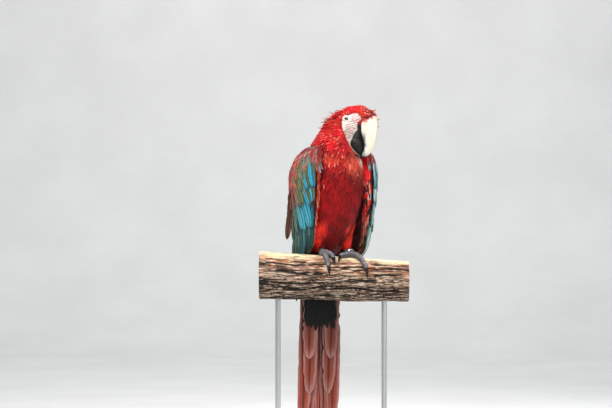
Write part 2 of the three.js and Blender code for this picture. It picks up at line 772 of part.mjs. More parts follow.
const thighRooms = [];
for (const [name, side] of [["right", -1], ["left", 1]]) {
  const { heel, sole, foot, claws } = footShapes(FEET[name]);
  const thigh = thighShape(side, heel.clone().applyMatrix4(toBird));
  bird.add(meshOf("leg_" + name, thigh.subtract(fleshRoom).subtract(grown(inBird(foot))), RED));
  thighRooms.push(thighShape(side, heel.clone().applyMatrix4(toBird), GAP));
  const band = name === "left" ? bandShape(heel, sole) : null;
  if (band) group.add(meshOf("leg_band", band.subtract(grown(foot)).subtract(perchRoom), 0xd0d3d6, 0.25, 1));
  const bodyRoom = inStand(fleshRoom);
  group.add(meshOf("foot_" + name, foot.subtract(perchRoom).subtract(bodyRoom), 0x6e6a66, 0.7));
  claws.forEach((claw, i) => {
    const shape = claw.subtract(perchRoom);
    group.add(meshOf(`claw_${name}_${FEET[name].toes[i].name}`, shape, 0x1d1b1a, 0.4));
  });
}

const bodyRoom = join([fleshRoom, ...thighRooms]);
const wings = { right: wingShape(-1).subtract(bodyRoom), left: wingShape(1).subtract(bodyRoom) };
bird.add(meshOf("wing_right", wings.right, 0x2e7d8c));
bird.add(meshOf("wing_left", wings.left, 0x2e7d8c));
bird.add(meshOf("tail", tailShape().subtract(bodyRoom), 0x8a3a30));

export default group;
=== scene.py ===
"""The looks of the macaw on its branch. Lengths are in millimetres until a mesh is made."""

import math

import bpy
import numpy as np
from mathutils import Matrix, Vector
from mathutils.bvhtree import BVHTree


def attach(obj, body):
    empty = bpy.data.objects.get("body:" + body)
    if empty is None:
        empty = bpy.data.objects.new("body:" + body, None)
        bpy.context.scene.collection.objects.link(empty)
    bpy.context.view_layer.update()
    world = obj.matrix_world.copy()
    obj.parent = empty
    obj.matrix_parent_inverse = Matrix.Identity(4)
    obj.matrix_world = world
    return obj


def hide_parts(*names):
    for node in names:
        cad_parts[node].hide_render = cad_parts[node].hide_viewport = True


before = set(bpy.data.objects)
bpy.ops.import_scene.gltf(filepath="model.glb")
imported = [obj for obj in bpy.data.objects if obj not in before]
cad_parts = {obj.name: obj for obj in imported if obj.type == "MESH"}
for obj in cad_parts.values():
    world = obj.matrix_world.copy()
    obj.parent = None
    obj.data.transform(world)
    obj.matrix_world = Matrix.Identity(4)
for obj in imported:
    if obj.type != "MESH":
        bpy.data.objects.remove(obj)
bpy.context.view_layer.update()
rng = np.random.default_rng(11)
SIDES = ((1, "left"), (-1, "right"))

# ---- the shapes that the solids are made from ----------------------------------------------
TORSO = [
    [-12, 20, 58, 94], [6, 35, 27, 99], [28, 43, 3, 99], [55, 51, -24, 97], [85, 61, -46, 94],
    [118, 67, -62, 89], [152, 70, -71, 82], [186, 70, -73, 74], [216, 66, -69, 66],
    [242, 58, -60, 56], [262, 48, -48, 44],
]
NECK = [
    [0, -1, 226, 56, 57, 4], [2, -2, 246, 55, 55, 10], [8, -6, 270, 47, 49, 18],
    [13, -14, 292, 41, 43, 26], [17, -22, 308, 33, 35, 32],
]
SKULL = [
    [-40, 8, -16, 2], [-34, 18, -30, 15], [-22, 26, -40, 31], [-10, 30, -44, 40.5],
    [7, 31, -45, 47.5], [18, 29, -44, 50.5], [28, 25, -41, 49.5], [36, 20, -34, 45], [43, 11, -18, 37],
]
BILL_UPPER = [
    [28, 30, 20, -12, 20], [44, 36, 29, -15, 21.5], [59, 37, 39, -17, 20.5], [68.5, 24, 47, -20, 18],
    [74.5, 8, 53, -25, 16], [78.5, -12, 57, -32, 13.5], [79.5, -31, 59, -41, 10.5],
    [73.5, -50, 58, -52, 7.2], [56, -65, 54, -61, 2.6],
]
BILL_LOWER = [
    [16, -14, 10, -36, 14], [26, -14, 18, -44, 16], [36, -16, 27, -51, 16.5],
    [46, -20, 38, -56, 14], [54, -30, 49, -58.5, 10], [58, -42, 56, -57, 5],
]
EYE = {"forward": 4, "up": 11, "side": 25.4, "radius": 6.4}
WING = [
    [-158, 44, 104, 44, 111, 30, 115, 0], [-120, 47, 99, 47, 109, 29, 115, 4],
    [-80, 49, 95, 49, 106, 28, 114, 12], [-55, 50, 92, 51, 102, 28, 114, 20],
    [-30, 50, 84, 56, 96, 28, 113, 29], [-8, 48, 64, 62, 86, 28, 112, 36],
    [12, 46, 21, 68, 73, 28, 111, 38], [36, 47, 2, 73, 56, 28, 109, 34],
    [65, 50, -16, 79, 43, 28, 106, 26], [95, 54, -33, 83, 32, 28, 102, 17],
    [130, 58, -50, 90, 22, 28, 97, 8], [180, 60, -58, 95, 11, 28, 86, 0],
    [215, 58, -54, 87, 4, 28, 76, 0], [242, 51, -45, 68, 2, 28, 64, 6],
    [262, 42, -28, 50, 3, 29, 49, 10],
]
CORE = np.array([
    [0, -9, -18], [0.05, 1, -18], [0.13, 7, -18], [0.3, 9, -18], [0.42, 6.4, -16],
    [0.6, 4.6, -13], [0.8, 1.8, -12], [1, 1, -11],
])
CORE_ENDS = {"top": 259, "front": 42, "back": -22}
CORE_MARGIN = 0.03
STRAY = {"across": 0.56, "root": 168, "tip": 38, "half": 8.5, "swing": 17}
TAIL_LINE = [[-530, 118, 5], [-300, 107, 9], [-120, 98, 9], [-40, 92, 6], [30, 82, 0]]
TAIL_PAIRS = [
    [9, 14, -520], [18, 28, -487], [26, 37, -446], [31, 38, -398], [25, 24, -326], [30, 27, -242],
]
PERCH = {"left": -165, "right": 178, "radius_left": 55, "radius_right": 47, "fall": -0.045, "top": 563}
BIRD_X, HEADING = 6, 24
FEET = {
    "right": {
        "x": -18, "heel": [-27, 27, 21],
        "toes": {
            "outer_front": [[-16, -11, -6], [4, 36, 62]],
            "inner_front": [[-13, -1, 5], [2, 19, 33]],
            "outer_back": [[-22, -32, -38], [-8, -32, -50]],
            "inner_back": [[-17, -11, -7], [-8, -28, -44]],
        },
    },
    "left": {
        "x": 50, "heel": [36, 23, 16],
        "toes": {
            "outer_front": [[54, 70, 79], [5, 32, 60]],
            "inner_front": [[45, 31, 20], [3, 13, 21]],
            "outer_back": [[52, 60, 65], [-8, -36, -60]],
            "inner_back": [[46, 40, 34], [-8, -36, -58]],
        },
    },
}


# ---- arithmetic ----------------------------------------------------------------------------
def turn(axis, degrees):
    return np.array(Matrix.Rotation(math.radians(degrees), 4, axis))


def shift(x, y, z):
    m = np.eye(4)
    m[:3, 3] = (x, y, z)
    return m


BIRD = shift(BIRD_X, 0, PERCH["top"]) @ turn("Z", HEADING)
HEAD = shift(25, -33, 301) @ turn("Z", 33) @ turn("X", 18) @ turn("Y", 8)
HEAD_TURN = HEAD[:3, :3].T
X_WAY, Y_WAY, Z_WAY = np.eye(3)


def apply(m, p):
    return p @ m[:3, :3].T + m[:3, 3]


def unit(v):
    return v / np.maximum(np.linalg.norm(v, axis=-1, keepdims=True), 1e-9)


def level(way, out, share=1.0):
    """Ways turned to run along a surface, whose ways out are given."""
    return unit(way - share * out * (way * out).sum(-1, keepdims=True))


def smooth(low, high, x):
    t = np.clip((x - low) / (high - low), 0, 1)
    return t * t * (3 - 2 * t)


def mix(a, b, t):
    return a + (b - a) * t


def paint(base, *layers):
    """A base with colours laid over it in turn, each by shares that have no axis for the colour."""
    for colour, share in layers:
        base = mix(base, colour, share[..., None])
    return base


def look(table, at):
    """Smooth interpolation of a table whose rows start with the value looked up."""
    rows, shape = np.asarray(table, float), np.shape(at)
    x, y, at = rows[:, 0], rows[:, 1:], np.ravel(at)
    last = len(x) - 1
    i = np.clip(np.searchsorted(x, at, side="left") - 1, 0, last - 1)
    before, after = np.maximum(i - 1, 0), np.minimum(i + 2, last)
    span, rise = (x[i + 1] - x[i])[:, None], y[i + 1] - y[i]
    s = np.clip((at - x[i])[:, None] / span, 0, 1)
    into, out = ((y[b] - y[a]) / (x[b] - x[a])[:, None] * span for a, b in ((before, i + 1), (i, after)))
    into, out = np.where((i == 0)[:, None], rise, into), np.where((i + 1 == last)[:, None], rise, out)
    s2, s3 = s * s, s**3
    found = (2 * s3 - 3 * s2 + 1) * y[i] + (s3 - 2 * s2 + s) * into
    return (found + (3 * s2 - 2 * s3) * y[i + 1] + (s3 - s2) * out).reshape(*shape, -1)


def spline(points, count):
    """Rows spread evenly over a list of rows, with a smooth course between them."""
    numbered = [[i, *row] for i, row in enumerate(points)]
    return look(numbered, np.linspace(0, len(points) - 1, count))


def wave_noise(p, size, seed=0, octaves=3):
    """Smooth noise of about -1 to 1 at points, from sums of waves that run many ways."""
    local = np.random.default_rng(100 + seed)
    total, weight = np.zeros(p.shape[:-1]), 0.0
    for octave in range(octaves):
        amount = 0.55**octave
        for _ in range(5):
            way = unit(local.normal(size=3)) * 2 * math.pi / size * 1.9**octave
            total += amount * np.sin(p @ way + local.uniform(0, 6.28)) * 0.45
        weight += amount
    return total / weight * 1.6


def srgb(*rgb):
    c = np.array(rgb, float) / 255
    return np.where(c <= 0.04045, c / 12.92, ((c + 0.055) / 1.055) ** 2.4)


def by_share(share, stops, colours):
    """Colours between those at the stops."""
    return np.stack([np.interp(share, stops, np.array(colours)[:, k]) for k in range(3)], -1)


# ---- meshes --------------------------------------------------------------------------------
def make_mesh(name, points, faces, material, colour=None, vane_uv=None, bake_uv=None):
    """A mesh object from points in millimetres in the stand's axes and faces of 3 or 4 corners."""
    mesh = bpy.data.meshes.new(name)
    points = np.asarray(points, float).reshape(-1, 3)
    sizes = np.concatenate([np.full(len(f), f.shape[1]) for f in faces])
    loops = np.concatenate([f.reshape(-1) for f in faces])
    for kind, count, key, values in (
        (mesh.vertices, len(points), "co", (points * 0.001).astype(np.float32)),
        (mesh.loops, len(loops), "vertex_index", loops.astype(np.int32)),
        (mesh.polygons, len(sizes), "loop_start", (np.cumsum(sizes) - sizes).astype(np.int32)),
    ):
        kind.add(count)
        kind.foreach_set(key, values.ravel())
    mesh.polygons.foreach_set("loop_total", sizes.astype(np.int32))
    mesh.update(calc_edges=True)
    mesh.polygons.foreach_set("use_smooth", np.full(len(sizes), True))
    if colour is not None:
        rgba = np.ones((len(points), 4), np.float32)
        rgba[:, :3] = np.clip(colour.reshape(-1, 3), 0, 1)
        mesh.attributes.new("tint", "FLOAT_COLOR", "POINT").data.foreach_set("color", rgba.ravel())
    for title, uv in (("Vane", vane_uv), ("OFBake", bake_uv)):
        if uv is not None:
            layer = mesh.uv_layers.new(name=title)
            layer.data.foreach_set("uv", uv.reshape(-1, 2)[loops].astype(np.float32).ravel())
    mesh.validate()
    obj = bpy.data.objects.new(name, mesh)
    bpy.context.scene.collection.objects.link(obj)
    obj.data.materials.append(material)
    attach(obj, "root")
    return obj


def grid_faces(rows, columns, closed=False):
    """Quads of a grid of points, with its last column joined to its first where it is closed."""
    r, c = np.meshgrid(np.arange(rows - 1), np.arange(columns if closed else columns - 1), indexing="ij")
    a, b = r * columns + c, r * columns + (c + 1) % columns
    return np.stack([a, b, b + columns, a + columns], -1).reshape(-1, 4)


def loft(*bodies):
    """Points and faces of closed bodies, each through its rings (rows, around, 3), with fanned ends."""
    points, faces, base = [], [], 0
    for rings in bodies:
        rows, n, _ = rings.shape
        points += [rings.reshape(-1, 3), rings[:1].mean(1), rings[-1:].mean(1)]
        near = np.arange(n)
        far, last = (near + 1) % n, (rows - 1) * n
        ends = [
            np.stack([np.full(n, rows * n), far, near], -1),
            np.stack([np.full(n, rows * n + 1), last + near, last + far], -1),
        ]
        faces += [grid_faces(rows, n, True) + base, np.concatenate(ends) + base]
        base += rows * n + 2
    return np.concatenate(points), faces


def with_ends(tint, end=(0.0, 0.0, 0.0)):
    """A loft's colours, with one more for the middle of each of its two ends."""
    return np.concatenate([tint.reshape(-1, 3), np.tile(end, (2, 1))])


def circle(count):
    return np.arange(count) * 2 * math.pi / count


def ring(centre, side, over, half, deep, count):
    """A closed row of points around each centre (rows, 3), half wide along side and deep along over."""
    a = circle(count)[None, :, None]
    side, over = (np.broadcast_to(way, centre.shape)[:, None] for way in (side, over))
    return centre[:, None] + side * half[:, None, None] * np.cos(a) + over * deep[:, None, None] * np.sin(a)


def body_rings(shrink, rows=40, around=64):
    """Rings of the torso, neck, skull and thighs in the bird's axes, drawn in by the coat's depth."""
    z = np.linspace(TORSO[0][0], TORSO[-1][0], rows)
    half, front, back = look(TORSO, z).T
    centre = np.stack([z * 0, (front + back) / 2, z], -1)
    yield ring(centre, X_WAY, Y_WAY, half - shrink, (back - front) / 2 - shrink, around)
    x, y, z, half, deep, lean = spline(NECK, rows).T
    lean = np.radians(lean)
    over = np.stack([lean * 0, np.cos(lean), np.sin(lean)], -1)
    yield ring(np.stack([x, y, z], -1), X_WAY, over, half - shrink, deep - shrink, around)
    forward = np.linspace(SKULL[0][0], SKULL[-1][0], rows)
    half, under, top = look(SKULL, forward).T
    centre = np.stack([forward * 0, -forward, (under + top) / 2], -1)
    tight = min(shrink, 2.0)
    yield apply(HEAD, ring(centre, X_WAY, Z_WAY, half - tight, (top - under) / 2 - tight, around))
    for name, side in (("right", -1), ("left", 1)):
        hx, hy, hz = apply(np.linalg.inv(BIRD), np.array(FEET[name]["heel"]) + [0, 0, PERCH["top"]])
        x, y, z, half, deep = spline([
            [side * 34, 12, 98, 24, 34], [side * 35, 12, 74, 23, 31], [side * 34, 17, 52, 20, 26],
            [(side * 34 + hx) / 2, (18 + hy) / 2, 34, 16, 19], [hx, hy, hz + 1, 10, 11],
        ], rows).T
        yield ring(np.stack([x, y, z], -1), X_WAY, Y_WAY, half - shrink, deep - shrink, around)


# ---- materials -----------------------------------------------------------------------------
class Nodes:
    """A short way to write a material's nodes."""

    def __init__(self, name):
        self.material = bpy.data.materials.new(name)
        self.material.use_nodes = True
        self.tree = self.material.node_tree

    def add(self, kind, settings=None, **inputs):
        node = self.tree.nodes.new("ShaderNode" + kind)
        for key, value in (settings or {}).items():
            setattr(node, key, value)
        return self.join(node, **inputs)

    def join(self, node, **inputs):
        """Links or values for a node's inputs, by their names or as at and a number."""
        for key, value in inputs.items():
            place = int(key[2:]) if key[:2] == "at" and key[2:].isdigit() else key.replace("_", " ")
            value = value.outputs[0] if hasattr(value, "outputs") else value
            if isinstance(value, bpy.types.NodeSocket):
                self.tree.links.new(value, node.inputs[place])
            else:
                node.inputs[place].default_value = value
        return node

    def maths(self, operation, a, b=0.0, c=0.0):
        return self.add("Math", {"operation": operation}, at0=a, at1=b, at2=c)

    def blend(self, mode, factor, a, b):
        settings = {"data_type": "RGBA", "blend_type": mode}
        return self.add("Mix", settings, at0=factor, at6=a, at7=b).outputs[2]

    def ramp(self, factor, *stops):
        """A colour ramp of places and colours, where one number stands for a grey."""
        node = self.add("ValToRGB", Fac=factor)
        elements = node.color_ramp.elements
        while len(elements) < len(stops):
            elements.new(0.5)
        for element, (place, colour) in zip(elements, stops):
            element.position = place
            element.color = (*(colour if np.ndim(colour) else (colour,) * 3), 1)
        return node.outputs[0]

    def place(self, scale=(1, 1, 1)):
        at = self.add("TexCoord").outputs["Object"]
        return self.add("Mapping", Vector=at, Scale=scale).outputs[0]

    def noise(self, scale, detail=4.0, stretch=(1, 1, 1), roughness=0.55):
        inputs = {"Scale": scale, "Detail": detail, "Roughness": roughness}
        return self.add("TexNoise", Vector=self.place(stretch), **inputs).outputs[0]

    def cells(self, scale):
        settings = {"feature": "DISTANCE_TO_EDGE"}
        return self.add("TexVoronoi", settings, Vector=self.place(), Scale=scale).outputs[0]

    def tinted(self, *shades):
        """The mesh's own tint, multiplied by each shade in turn."""
        colour = self.add("Attribute", {"attribute_name": "tint"}).outputs[0]
        for shade in shades:
            colour = self.blend("MULTIPLY", 1.0, colour, shade)
        return colour

    def bump(self, height, strength, distance):
        return self.add("Bump", Height=height, Strength=strength, Distance=distance).outputs[0]

    def finish(self, **inputs):
        self.join(self.tree.nodes["Principled BSDF"], **inputs)
        return self.material


def feather_material(name, barbs, strength, roughness, sheen):
    """Feathers take their colour from the tint, and their barbs from each vane's own map."""
    m = Nodes(name)
    uv = m.add("SeparateXYZ", Vector=m.add("UVMap", {"uv_map": "Vane"}))
    side = m.maths("ABSOLUTE", m.maths("SUBTRACT", uv.outputs[0], 0.5))
    along = m.maths("MULTIPLY", uv.outputs[1], barbs[1])
    slant = m.maths("SUBTRACT", along, m.maths("MULTIPLY", side, barbs[0]))
    wobble = m.maths("MULTIPLY", m.noise(180.0, 2.0), 2.2)
    stripe = m.maths("SINE", m.maths("MULTIPLY", m.maths("ADD", slant, wobble), 3.1416))
    fine, mottle = m.maths("MULTIPLY_ADD", stripe, 0.5, 0.5), m.noise(260.0, 5.0)
    shade = m.maths("MULTIPLY_ADD", fine, 0.35, m.maths("MULTIPLY", mottle, 0.65))
    return m.finish(
        Base_Color=m.tinted(m.ramp(shade, (0.25, 0.78), (0.75, 1.4))),
        Roughness=m.maths("MULTIPLY_ADD", mottle, 0.25, roughness - 0.12),
        Normal=m.bump(fine, strength, 0.0003),
        Sheen_Weight=sheen, Sheen_Roughness=0.4, Specular_IOR_Level=0.15,
    )


def horn_material(name, gloss):
    m = Nodes(name)
    grain, blotch = m.noise(90.0, 6.0, (1, 1, 6)), m.noise(45.0, 3.0)
    return m.finish(
        Base_Color=m.tinted(m.ramp(grain, (0.3, (0.84, 0.82, 0.8)), (0.7, 1.06))),
        Roughness=m.maths("MULTIPLY_ADD", blotch, 0.3, 0.6 - gloss), Normal=m.bump(grain, 0.25, 0.0006),
        Subsurface_Weight=0.08, Subsurface_Scale=0.004, Specular_IOR_Level=gloss,
    )


def eye_material():
    m = Nodes("eye_surface")
    return m.finish(
        Base_Color=m.tinted(m.ramp(m.noise(900.0, 4.0), (0.3, (0.7, 0.68, 0.6)), (0.7, 1.1))),
        Roughness=0.06, Coat_Weight=1.0, Coat_Roughness=0.02, Specular_IOR_Level=0.7,
    )


def skin_material():
    m = Nodes("bare_skin")
    pores, soft = m.cells(620.0), m.noise(300.0, 6.0)
    height = m.maths("ADD", m.maths("MULTIPLY", pores, 0.6), soft)
    return m.finish(
        Base_Color=m.tinted(m.ramp(soft, (0.3, (0.86, 0.8, 0.78)), (0.7, 1.06))),
        Roughness=0.62, Normal=m.bump(height, 0.45, 0.0005),
        Subsurface_Weight=0.12, Subsurface_Scale=0.003,
    )


def foot_material():
    m = Nodes("foot_scales")
    cells, dust = m.cells(620.0), m.noise(500.0, 4.0)
    gap = m.ramp(cells, (0.0, (0.16, 0.15, 0.15)), (0.14, 0.9), (0.5, 1.3))
    scales = m.maths("MINIMUM", m.maths("MULTIPLY", cells, 6.0), 0.8)
    height = m.maths("ADD", scales, m.maths("MULTIPLY", dust, 0.4))
    colour = m.tinted(gap, m.ramp(dust, (0.3, 0.7), (0.7, 1.2)))
    return m.finish(Base_Color=colour, Roughness=0.6, Normal=m.bump(height, 0.8, 0.0005))


def metal_material(name, colour, roughness, scale):
    m = Nodes(name)
    lines = m.noise(scale, 4.0, (1, 1, 0.05))
    return m.finish(
        Base_Color=m.ramp(lines, (0.3, tuple(c * 0.8 for c in colour)), (0.7, colour)), Metallic=1.0,
        Roughness=m.maths("MULTIPLY_ADD", lines, 0.2, roughness - 0.1), Normal=m.bump(lines, 0.15, 0.0002),
    )


def board_material():
    m = Nodes("dark_board")
    grain, pores = m.noise(9.0, 8.0, (0.6, 14, 14), 0.6), m.noise(60.0, 3.0, (1, 18, 18))
    brown = m.ramp(grain, (0.3, (0.035, 0.018, 0.010)), (0.5, (0.085, 0.043, 0.022)), (0.7, (0.14, 0.075, 0.04)))
    return m.finish(
        Base_Color=m.blend("MULTIPLY", 0.6, brown, m.ramp(pores, (0.4, 0.5), (0.6, 1.1))),
        Roughness=m.maths("MULTIPLY_ADD", grain, 0.3, 0.28), Normal=m.bump(pores, 0.25, 0.0004),
    )


def perch_material():
    m = Nodes("weathered_wood")
    fibre, fine = m.noise(30.0, 8.0, (0.5, 10, 10), 0.65), m.noise(160.0, 4.0, (0.3, 6, 6))
    cracks, flakes = m.noise(24.0, 6.0, (0.6, 9, 9), 0.6), m.noise(70.0, 5.0, (0.35, 3, 3), 0.7)
    colour = m.tinted(m.ramp(fibre, (0.3, (0.55, 0.48, 0.44)), (0.55, 1.15), (0.75, 1.4)))
    colour = m.blend("MULTIPLY", 0.8, colour, m.ramp(fine, (0.35, (0.6, 0.55, 0.5)), (0.6, 1.15)))
    colour = m.blend("MIX", m.ramp(flakes, (0.57, 0), (0.62, 0.6)), colour, (*srgb(226, 206, 184), 1))
    colour = m.blend("MULTIPLY", 1.0, colour, m.ramp(cracks, (0.38, (0.1, 0.08, 0.07)), (0.43, 1.0)))
    height = m.maths("ADD", fibre, m.maths("MULTIPLY", fine, 0.5))
    height = m.maths("ADD", height, m.maths("MINIMUM", m.maths("MULTIPLY", cracks, 3.0), 1.3))
    return m.finish(Base_Color=colour, Roughness=0.85, Normal=m.bump(height, 0.9, 0.0016), Specular_IOR_Level=0.25)


def floor_material():
    m = Nodes("studio_floor")
    shade = m.ramp(m.noise(3.0, 3.0), (0.3, (0.74, 0.74, 0.73)), (0.7, (0.8, 0.8, 0.79)))
    return m.finish(Base_Color=shade, Roughness=0.75)


# ---- skin under the coat -------------------------------------------------------------------
# The bare face from the side: distance forward and height of its outline, from the back round
# over the eye, down along the bill, and back under the eye.
FACE = np.array([
    [-5, 1], [-4, 8], [0, 15], [7, 22], [15, 28.5], [24, 31.5], [31, 29], [36, 22], [42, 10],
    [46, -8], [44, -26], [40, -46], [31, -50], [23, -42], [14.5, -30], [8, -21], [1, -11],
])
# The black of the bill and its gape from the side: down its back edge, and forward under the jaw.
JAW = np.array([
    [41.6, 11.5], [37.2, 3], [33.6, -6], [29.6, -16], [27.4, -26], [26.4, -35.6], [28, -42],
    [32, -46.5], [42, -52.5], [50, -56], [62, -60], [90, -60], [90, 11.5],
])
REDS = {
    "crown": srgb(206, 22, 32), "nape": srgb(190, 14, 24), "neck": srgb(192, 18, 28),
    "breast_top": srgb(168, 30, 26), "breast": srgb(128, 2, 6), "belly": srgb(104, 2, 6),
    "thigh": srgb(200, 38, 26), "back": srgb(112, 8, 16), "rump": srgb(60, 130, 160),
}
# The reds darken from the neck down to the belly: partly the plumage's own deeper red, partly painted shade on the
# lower body.
REDS_BY_HEIGHT = {
    -20: "belly", 40: "belly", 110: "breast", 175: "breast", 215: "breast_top", 250: "neck", 400: "neck",
}
GLOW, DOWN = [30, -60, 196], [50, -54, 209]
COAT_DEPTH, SMOOTHING_STEPS = 3.6, 14


def in_head(p):
    """Points of the bird's axes in the head's: to its left, forward, up, and from its middle."""
    h = apply(np.linalg.inv(HEAD), p)
    return h[..., 0], -h[..., 1], h[..., 2], np.linalg.norm(h, axis=-1)


def inside_outline(x, y, outline):
    """How far points lie inside a closed outline, and less than 0 outside it."""
    nearest = np.full(x.shape, 1e9)
    crossings = np.zeros(x.shape, int)
    for (ax, ay), (bx, by) in zip(outline, np.roll(outline, -1, axis=0)):
        dx, dy = bx - ax, by - ay
        t = np.clip(((x - ax) * dx + (y - ay) * dy) / (dx * dx + dy * dy), 0, 1)
        nearest = np.minimum(nearest, np.hypot(x - ax - t * dx, y - ay - t * dy))
        straddles = (ay > y) != (by > y)
        crossings += straddles & (x < ax + (y - ay) / (dy if dy else 1e-9) * dx)
    return np.where(crossings % 2 == 1, nearest, -nearest)


def face_mask(p):
    """1 on the bare face, 0 in the feathers, with a soft edge of about two millimetres."""
    side, forward, up, _ = in_head(p)
    return smooth(-0.8, 0.8, np.minimum(inside_outline(forward, up, FACE), (np.abs(side) - 9) * 1.3))


def jaw_mask(p):
    """1 on the black skin of the gape, between the bare face and the bill."""
    _, forward, up, reach = in_head(p)
    return smooth(-0.7, 0.7, inside_outline(forward, up, JAW)) * (reach < 66)


def body_tint(p):
    """The plumage's colour at points of the bird's axes."""
    x, y, z = p.T
    _, forward, up, reach = in_head(p)
    front = smooth(34, 20, y)
    beyond = x - np.interp(z, [14, 95], [20, 50])
    flank = smooth(0, 5, beyond) * smooth(100, 84, z) * front
    # Painted shade in the crease between the belly and the thighs.
    crease = np.exp(-((beyond / 4.5) ** 2)) * smooth(104, 92, z) * front
    colour = paint(
        by_share(z, list(REDS_BY_HEIGHT), [REDS[name] for name in REDS_BY_HEIGHT.values()]),
        (REDS["back"], smooth(10, 45, y) * smooth(275, 240, z)),
        (REDS["rump"], smooth(20, 60, y) * smooth(105, 70, z)),
        (REDS["thigh"], smooth(80, 55, z) * smooth(18, 26, np.abs(x)) * smooth(62, 46, y)),
        (REDS["thigh"], 0.55 * flank),
    ) * (1 - 0.75 * crease)[:, None]
    fiery = smooth(0.1, 0.8, wave_noise(p, 46.0, 8)) * smooth(185, 215, z) * smooth(30, 0, y)
    down = smooth(16, 6, np.linalg.norm((p - DOWN) * [1, 0.4, 0.75], axis=-1))
    colour = paint(
        colour,
        (REDS["crown"], smooth(60, 44, reach) * smooth(8, 20, up)),
        (srgb(212, 74, 42), 0.5 * fiery),
        (srgb(222, 92, 68), 0.55 * smooth(40, 14, np.linalg.norm((p - GLOW) * [0.9, 0.5, 1.1], axis=-1))),
        (srgb(226, 204, 190), down * smooth(-0.9, -0.1, wave_noise(p, 5.0, 9))),
    )
    brow = smooth(6, 1, -inside_outline(forward, up, FACE)) * smooth(14, 22, up) * smooth(30, 12, forward)
    return colour * (1 - 0.55 * brow * (reach < 66))[:, None] * (1 + 0.2 * wave_noise(p, 30.0, 3))[:, None]


def unwrap(p):
    """A place on the skin for each point: round and down the body, and out from the crown."""
    centre_y = np.interp(p[:, 2], [-12, 55, 118, 262, 320], [76, 36, 14, -2, -30])
    centre_x = np.interp(p[:, 2], [-12, 262, 320], [0, 3, 13])
    angle = np.arctan2(p[:, 0] - centre_x, -(p[:, 1] - centre_y)) / (2 * math.pi)
    return np.stack([0.5 + 0.94 * angle, 0.03 + 0.94 * (p[:, 2] + 20) / 400], -1)


def make_skin(material):
    """One skin in place of the flesh: lofts joined by a remesh, and smoothed where they meet."""
    points, faces = loft(*body_rings(COAT_DEPTH))
    rough = make_mesh("skin_rough", apply(BIRD, points), faces, material)
    remesh = rough.modifiers.new("join", "REMESH")
    remesh.mode = "VOXEL"
    remesh.voxel_size = 0.0021
    bpy.context.view_layer.update()
    shape = rough.evaluated_get(bpy.context.evaluated_depsgraph_get()).to_mesh()
    co, quads = np.zeros(len(shape.vertices) * 3), np.zeros(len(shape.loops), int)
    shape.vertices.foreach_get("co", co)
    shape.loops.foreach_get("vertex_index", quads)
    co, quads = co.reshape(-1, 3) * 1000, quads.reshape(-1, 4)
    edges = np.concatenate([quads[:, [k, (k + 1) % 4]] for k in range(4)])
    for step in range(SMOOTHING_STEPS):
        total, count = np.zeros_like(co), np.zeros(len(co))
        for here, there in (edges.T, edges.T[::-1]):
            np.add.at(total, here, co[there])
        np.add.at(count, edges.ravel(), 1)
        co = mix(co, total / count[:, None], 0.5 if step % 2 == 0 else -0.47)
    bpy.data.objects.remove(rough)
    local = apply(np.linalg.inv(BIRD), co)
    bare, gape = srgb(206, 194, 188), srgb(32, 28, 26)
    tint = paint(body_tint(local) * 0.5, (bare, face_mask(local)), (gape, jaw_mask(local)))
    return make_mesh("skin", co, [quads], material, tint, bake_uv=unwrap(local)), local, quads


class Surface:
    """The skin as a surface that feathers are rooted on and lie along."""

    def __init__(self, points, quads):
        self.tree = BVHTree.FromPolygons(points.tolist(), quads.tolist())
        self.corners = [points[quads[:, k]] for k in range(4)]
        a, b, c, d = self.corners
        self.area = np.linalg.norm(np.cross(c - a, d - b), axis=1) / 2
        self.middle = (a + b + c + d) / 4

    def nearest(self, p, limit=1e9):
        """The nearest points and the ways out there, for the points that have one in the limit."""
        found = [self.tree.find_nearest(Vector(q), limit) for q in p]
        return [np.array([f[k] for f in found if f[0] is not None]) for k in (0, 1)]

    def from_beside(self, side, forward, up):
        """Where rays from far out on the head's sides meet the surface, and which of them do."""
        far = apply(HEAD, np.stack([side * 60.0, -forward, up], -1))
        inward = (-side[:, None] * X_WAY) @ HEAD_TURN
        hits = [self.tree.ray_cast(Vector(p), Vector(d), 80)[0] for p, d in zip(far, inward)]
        return np.array([h for h in hits if h is not None]), np.array([h is not None for h in hits])

    def scatter(self, spacing):
        """Roots about spacing apart, where spacing is one number for each face, or 0 for none."""
        density = np.where(spacing > 0, 3.0 / np.maximum(spacing, 0.1) ** 2, 0) * self.area
        count = int(density.sum())
        pick = rng.choice(len(self.area), count, p=density / density.sum())
        u, v = rng.random((2, count, 1))
        a, b, c, d = (corner[pick] for corner in self.corners)
        p = mix(mix(a, b, u), mix(d, c, u), v)
        kept, cells, gap, big = [], {}, spacing[pick], spacing.max()
        around = [(dx, dy, dz) for dx in (-1, 0, 1) for dy in (-1, 0, 1) for dz in (-1, 0, 1)]
        for i, (x, y, z) in enumerate(p):
            kx, ky, kz = int(x // big), int(y // big), int(z // big)
            near = (j for dx, dy, dz in around for j in cells.get((kx + dx, ky + dy, kz + dz), ()))
            if all((p[j, 0] - x) ** 2 + (p[j, 1] - y) ** 2 + (p[j, 2] - z) ** 2 > gap[i] ** 2 for j in near):
                kept.append(i)
                cells.setdefault((kx, ky, kz), []).append(i)
        return p[kept]

    def walk(self, p, way, length, steps):
        """Lines along the surface from each root: points, outward and sideways ways at each step."""
        line, outs, sides = [], [], []
        out = self.nearest(p)[1]
        way = level(way, out)
        for k in range(steps):
            if k:
                p, found = self.nearest(p + way * (length / (steps - 1))[:, None])
                out = unit(mix(out, found, 0.7))
                way = level(way, out)
            line.append(p)
            outs.append(out)
            sides.append(unit(np.cross(way, out)))
        return np.stack(line, 1), np.stack(outs, 1), np.stack(sides, 1)


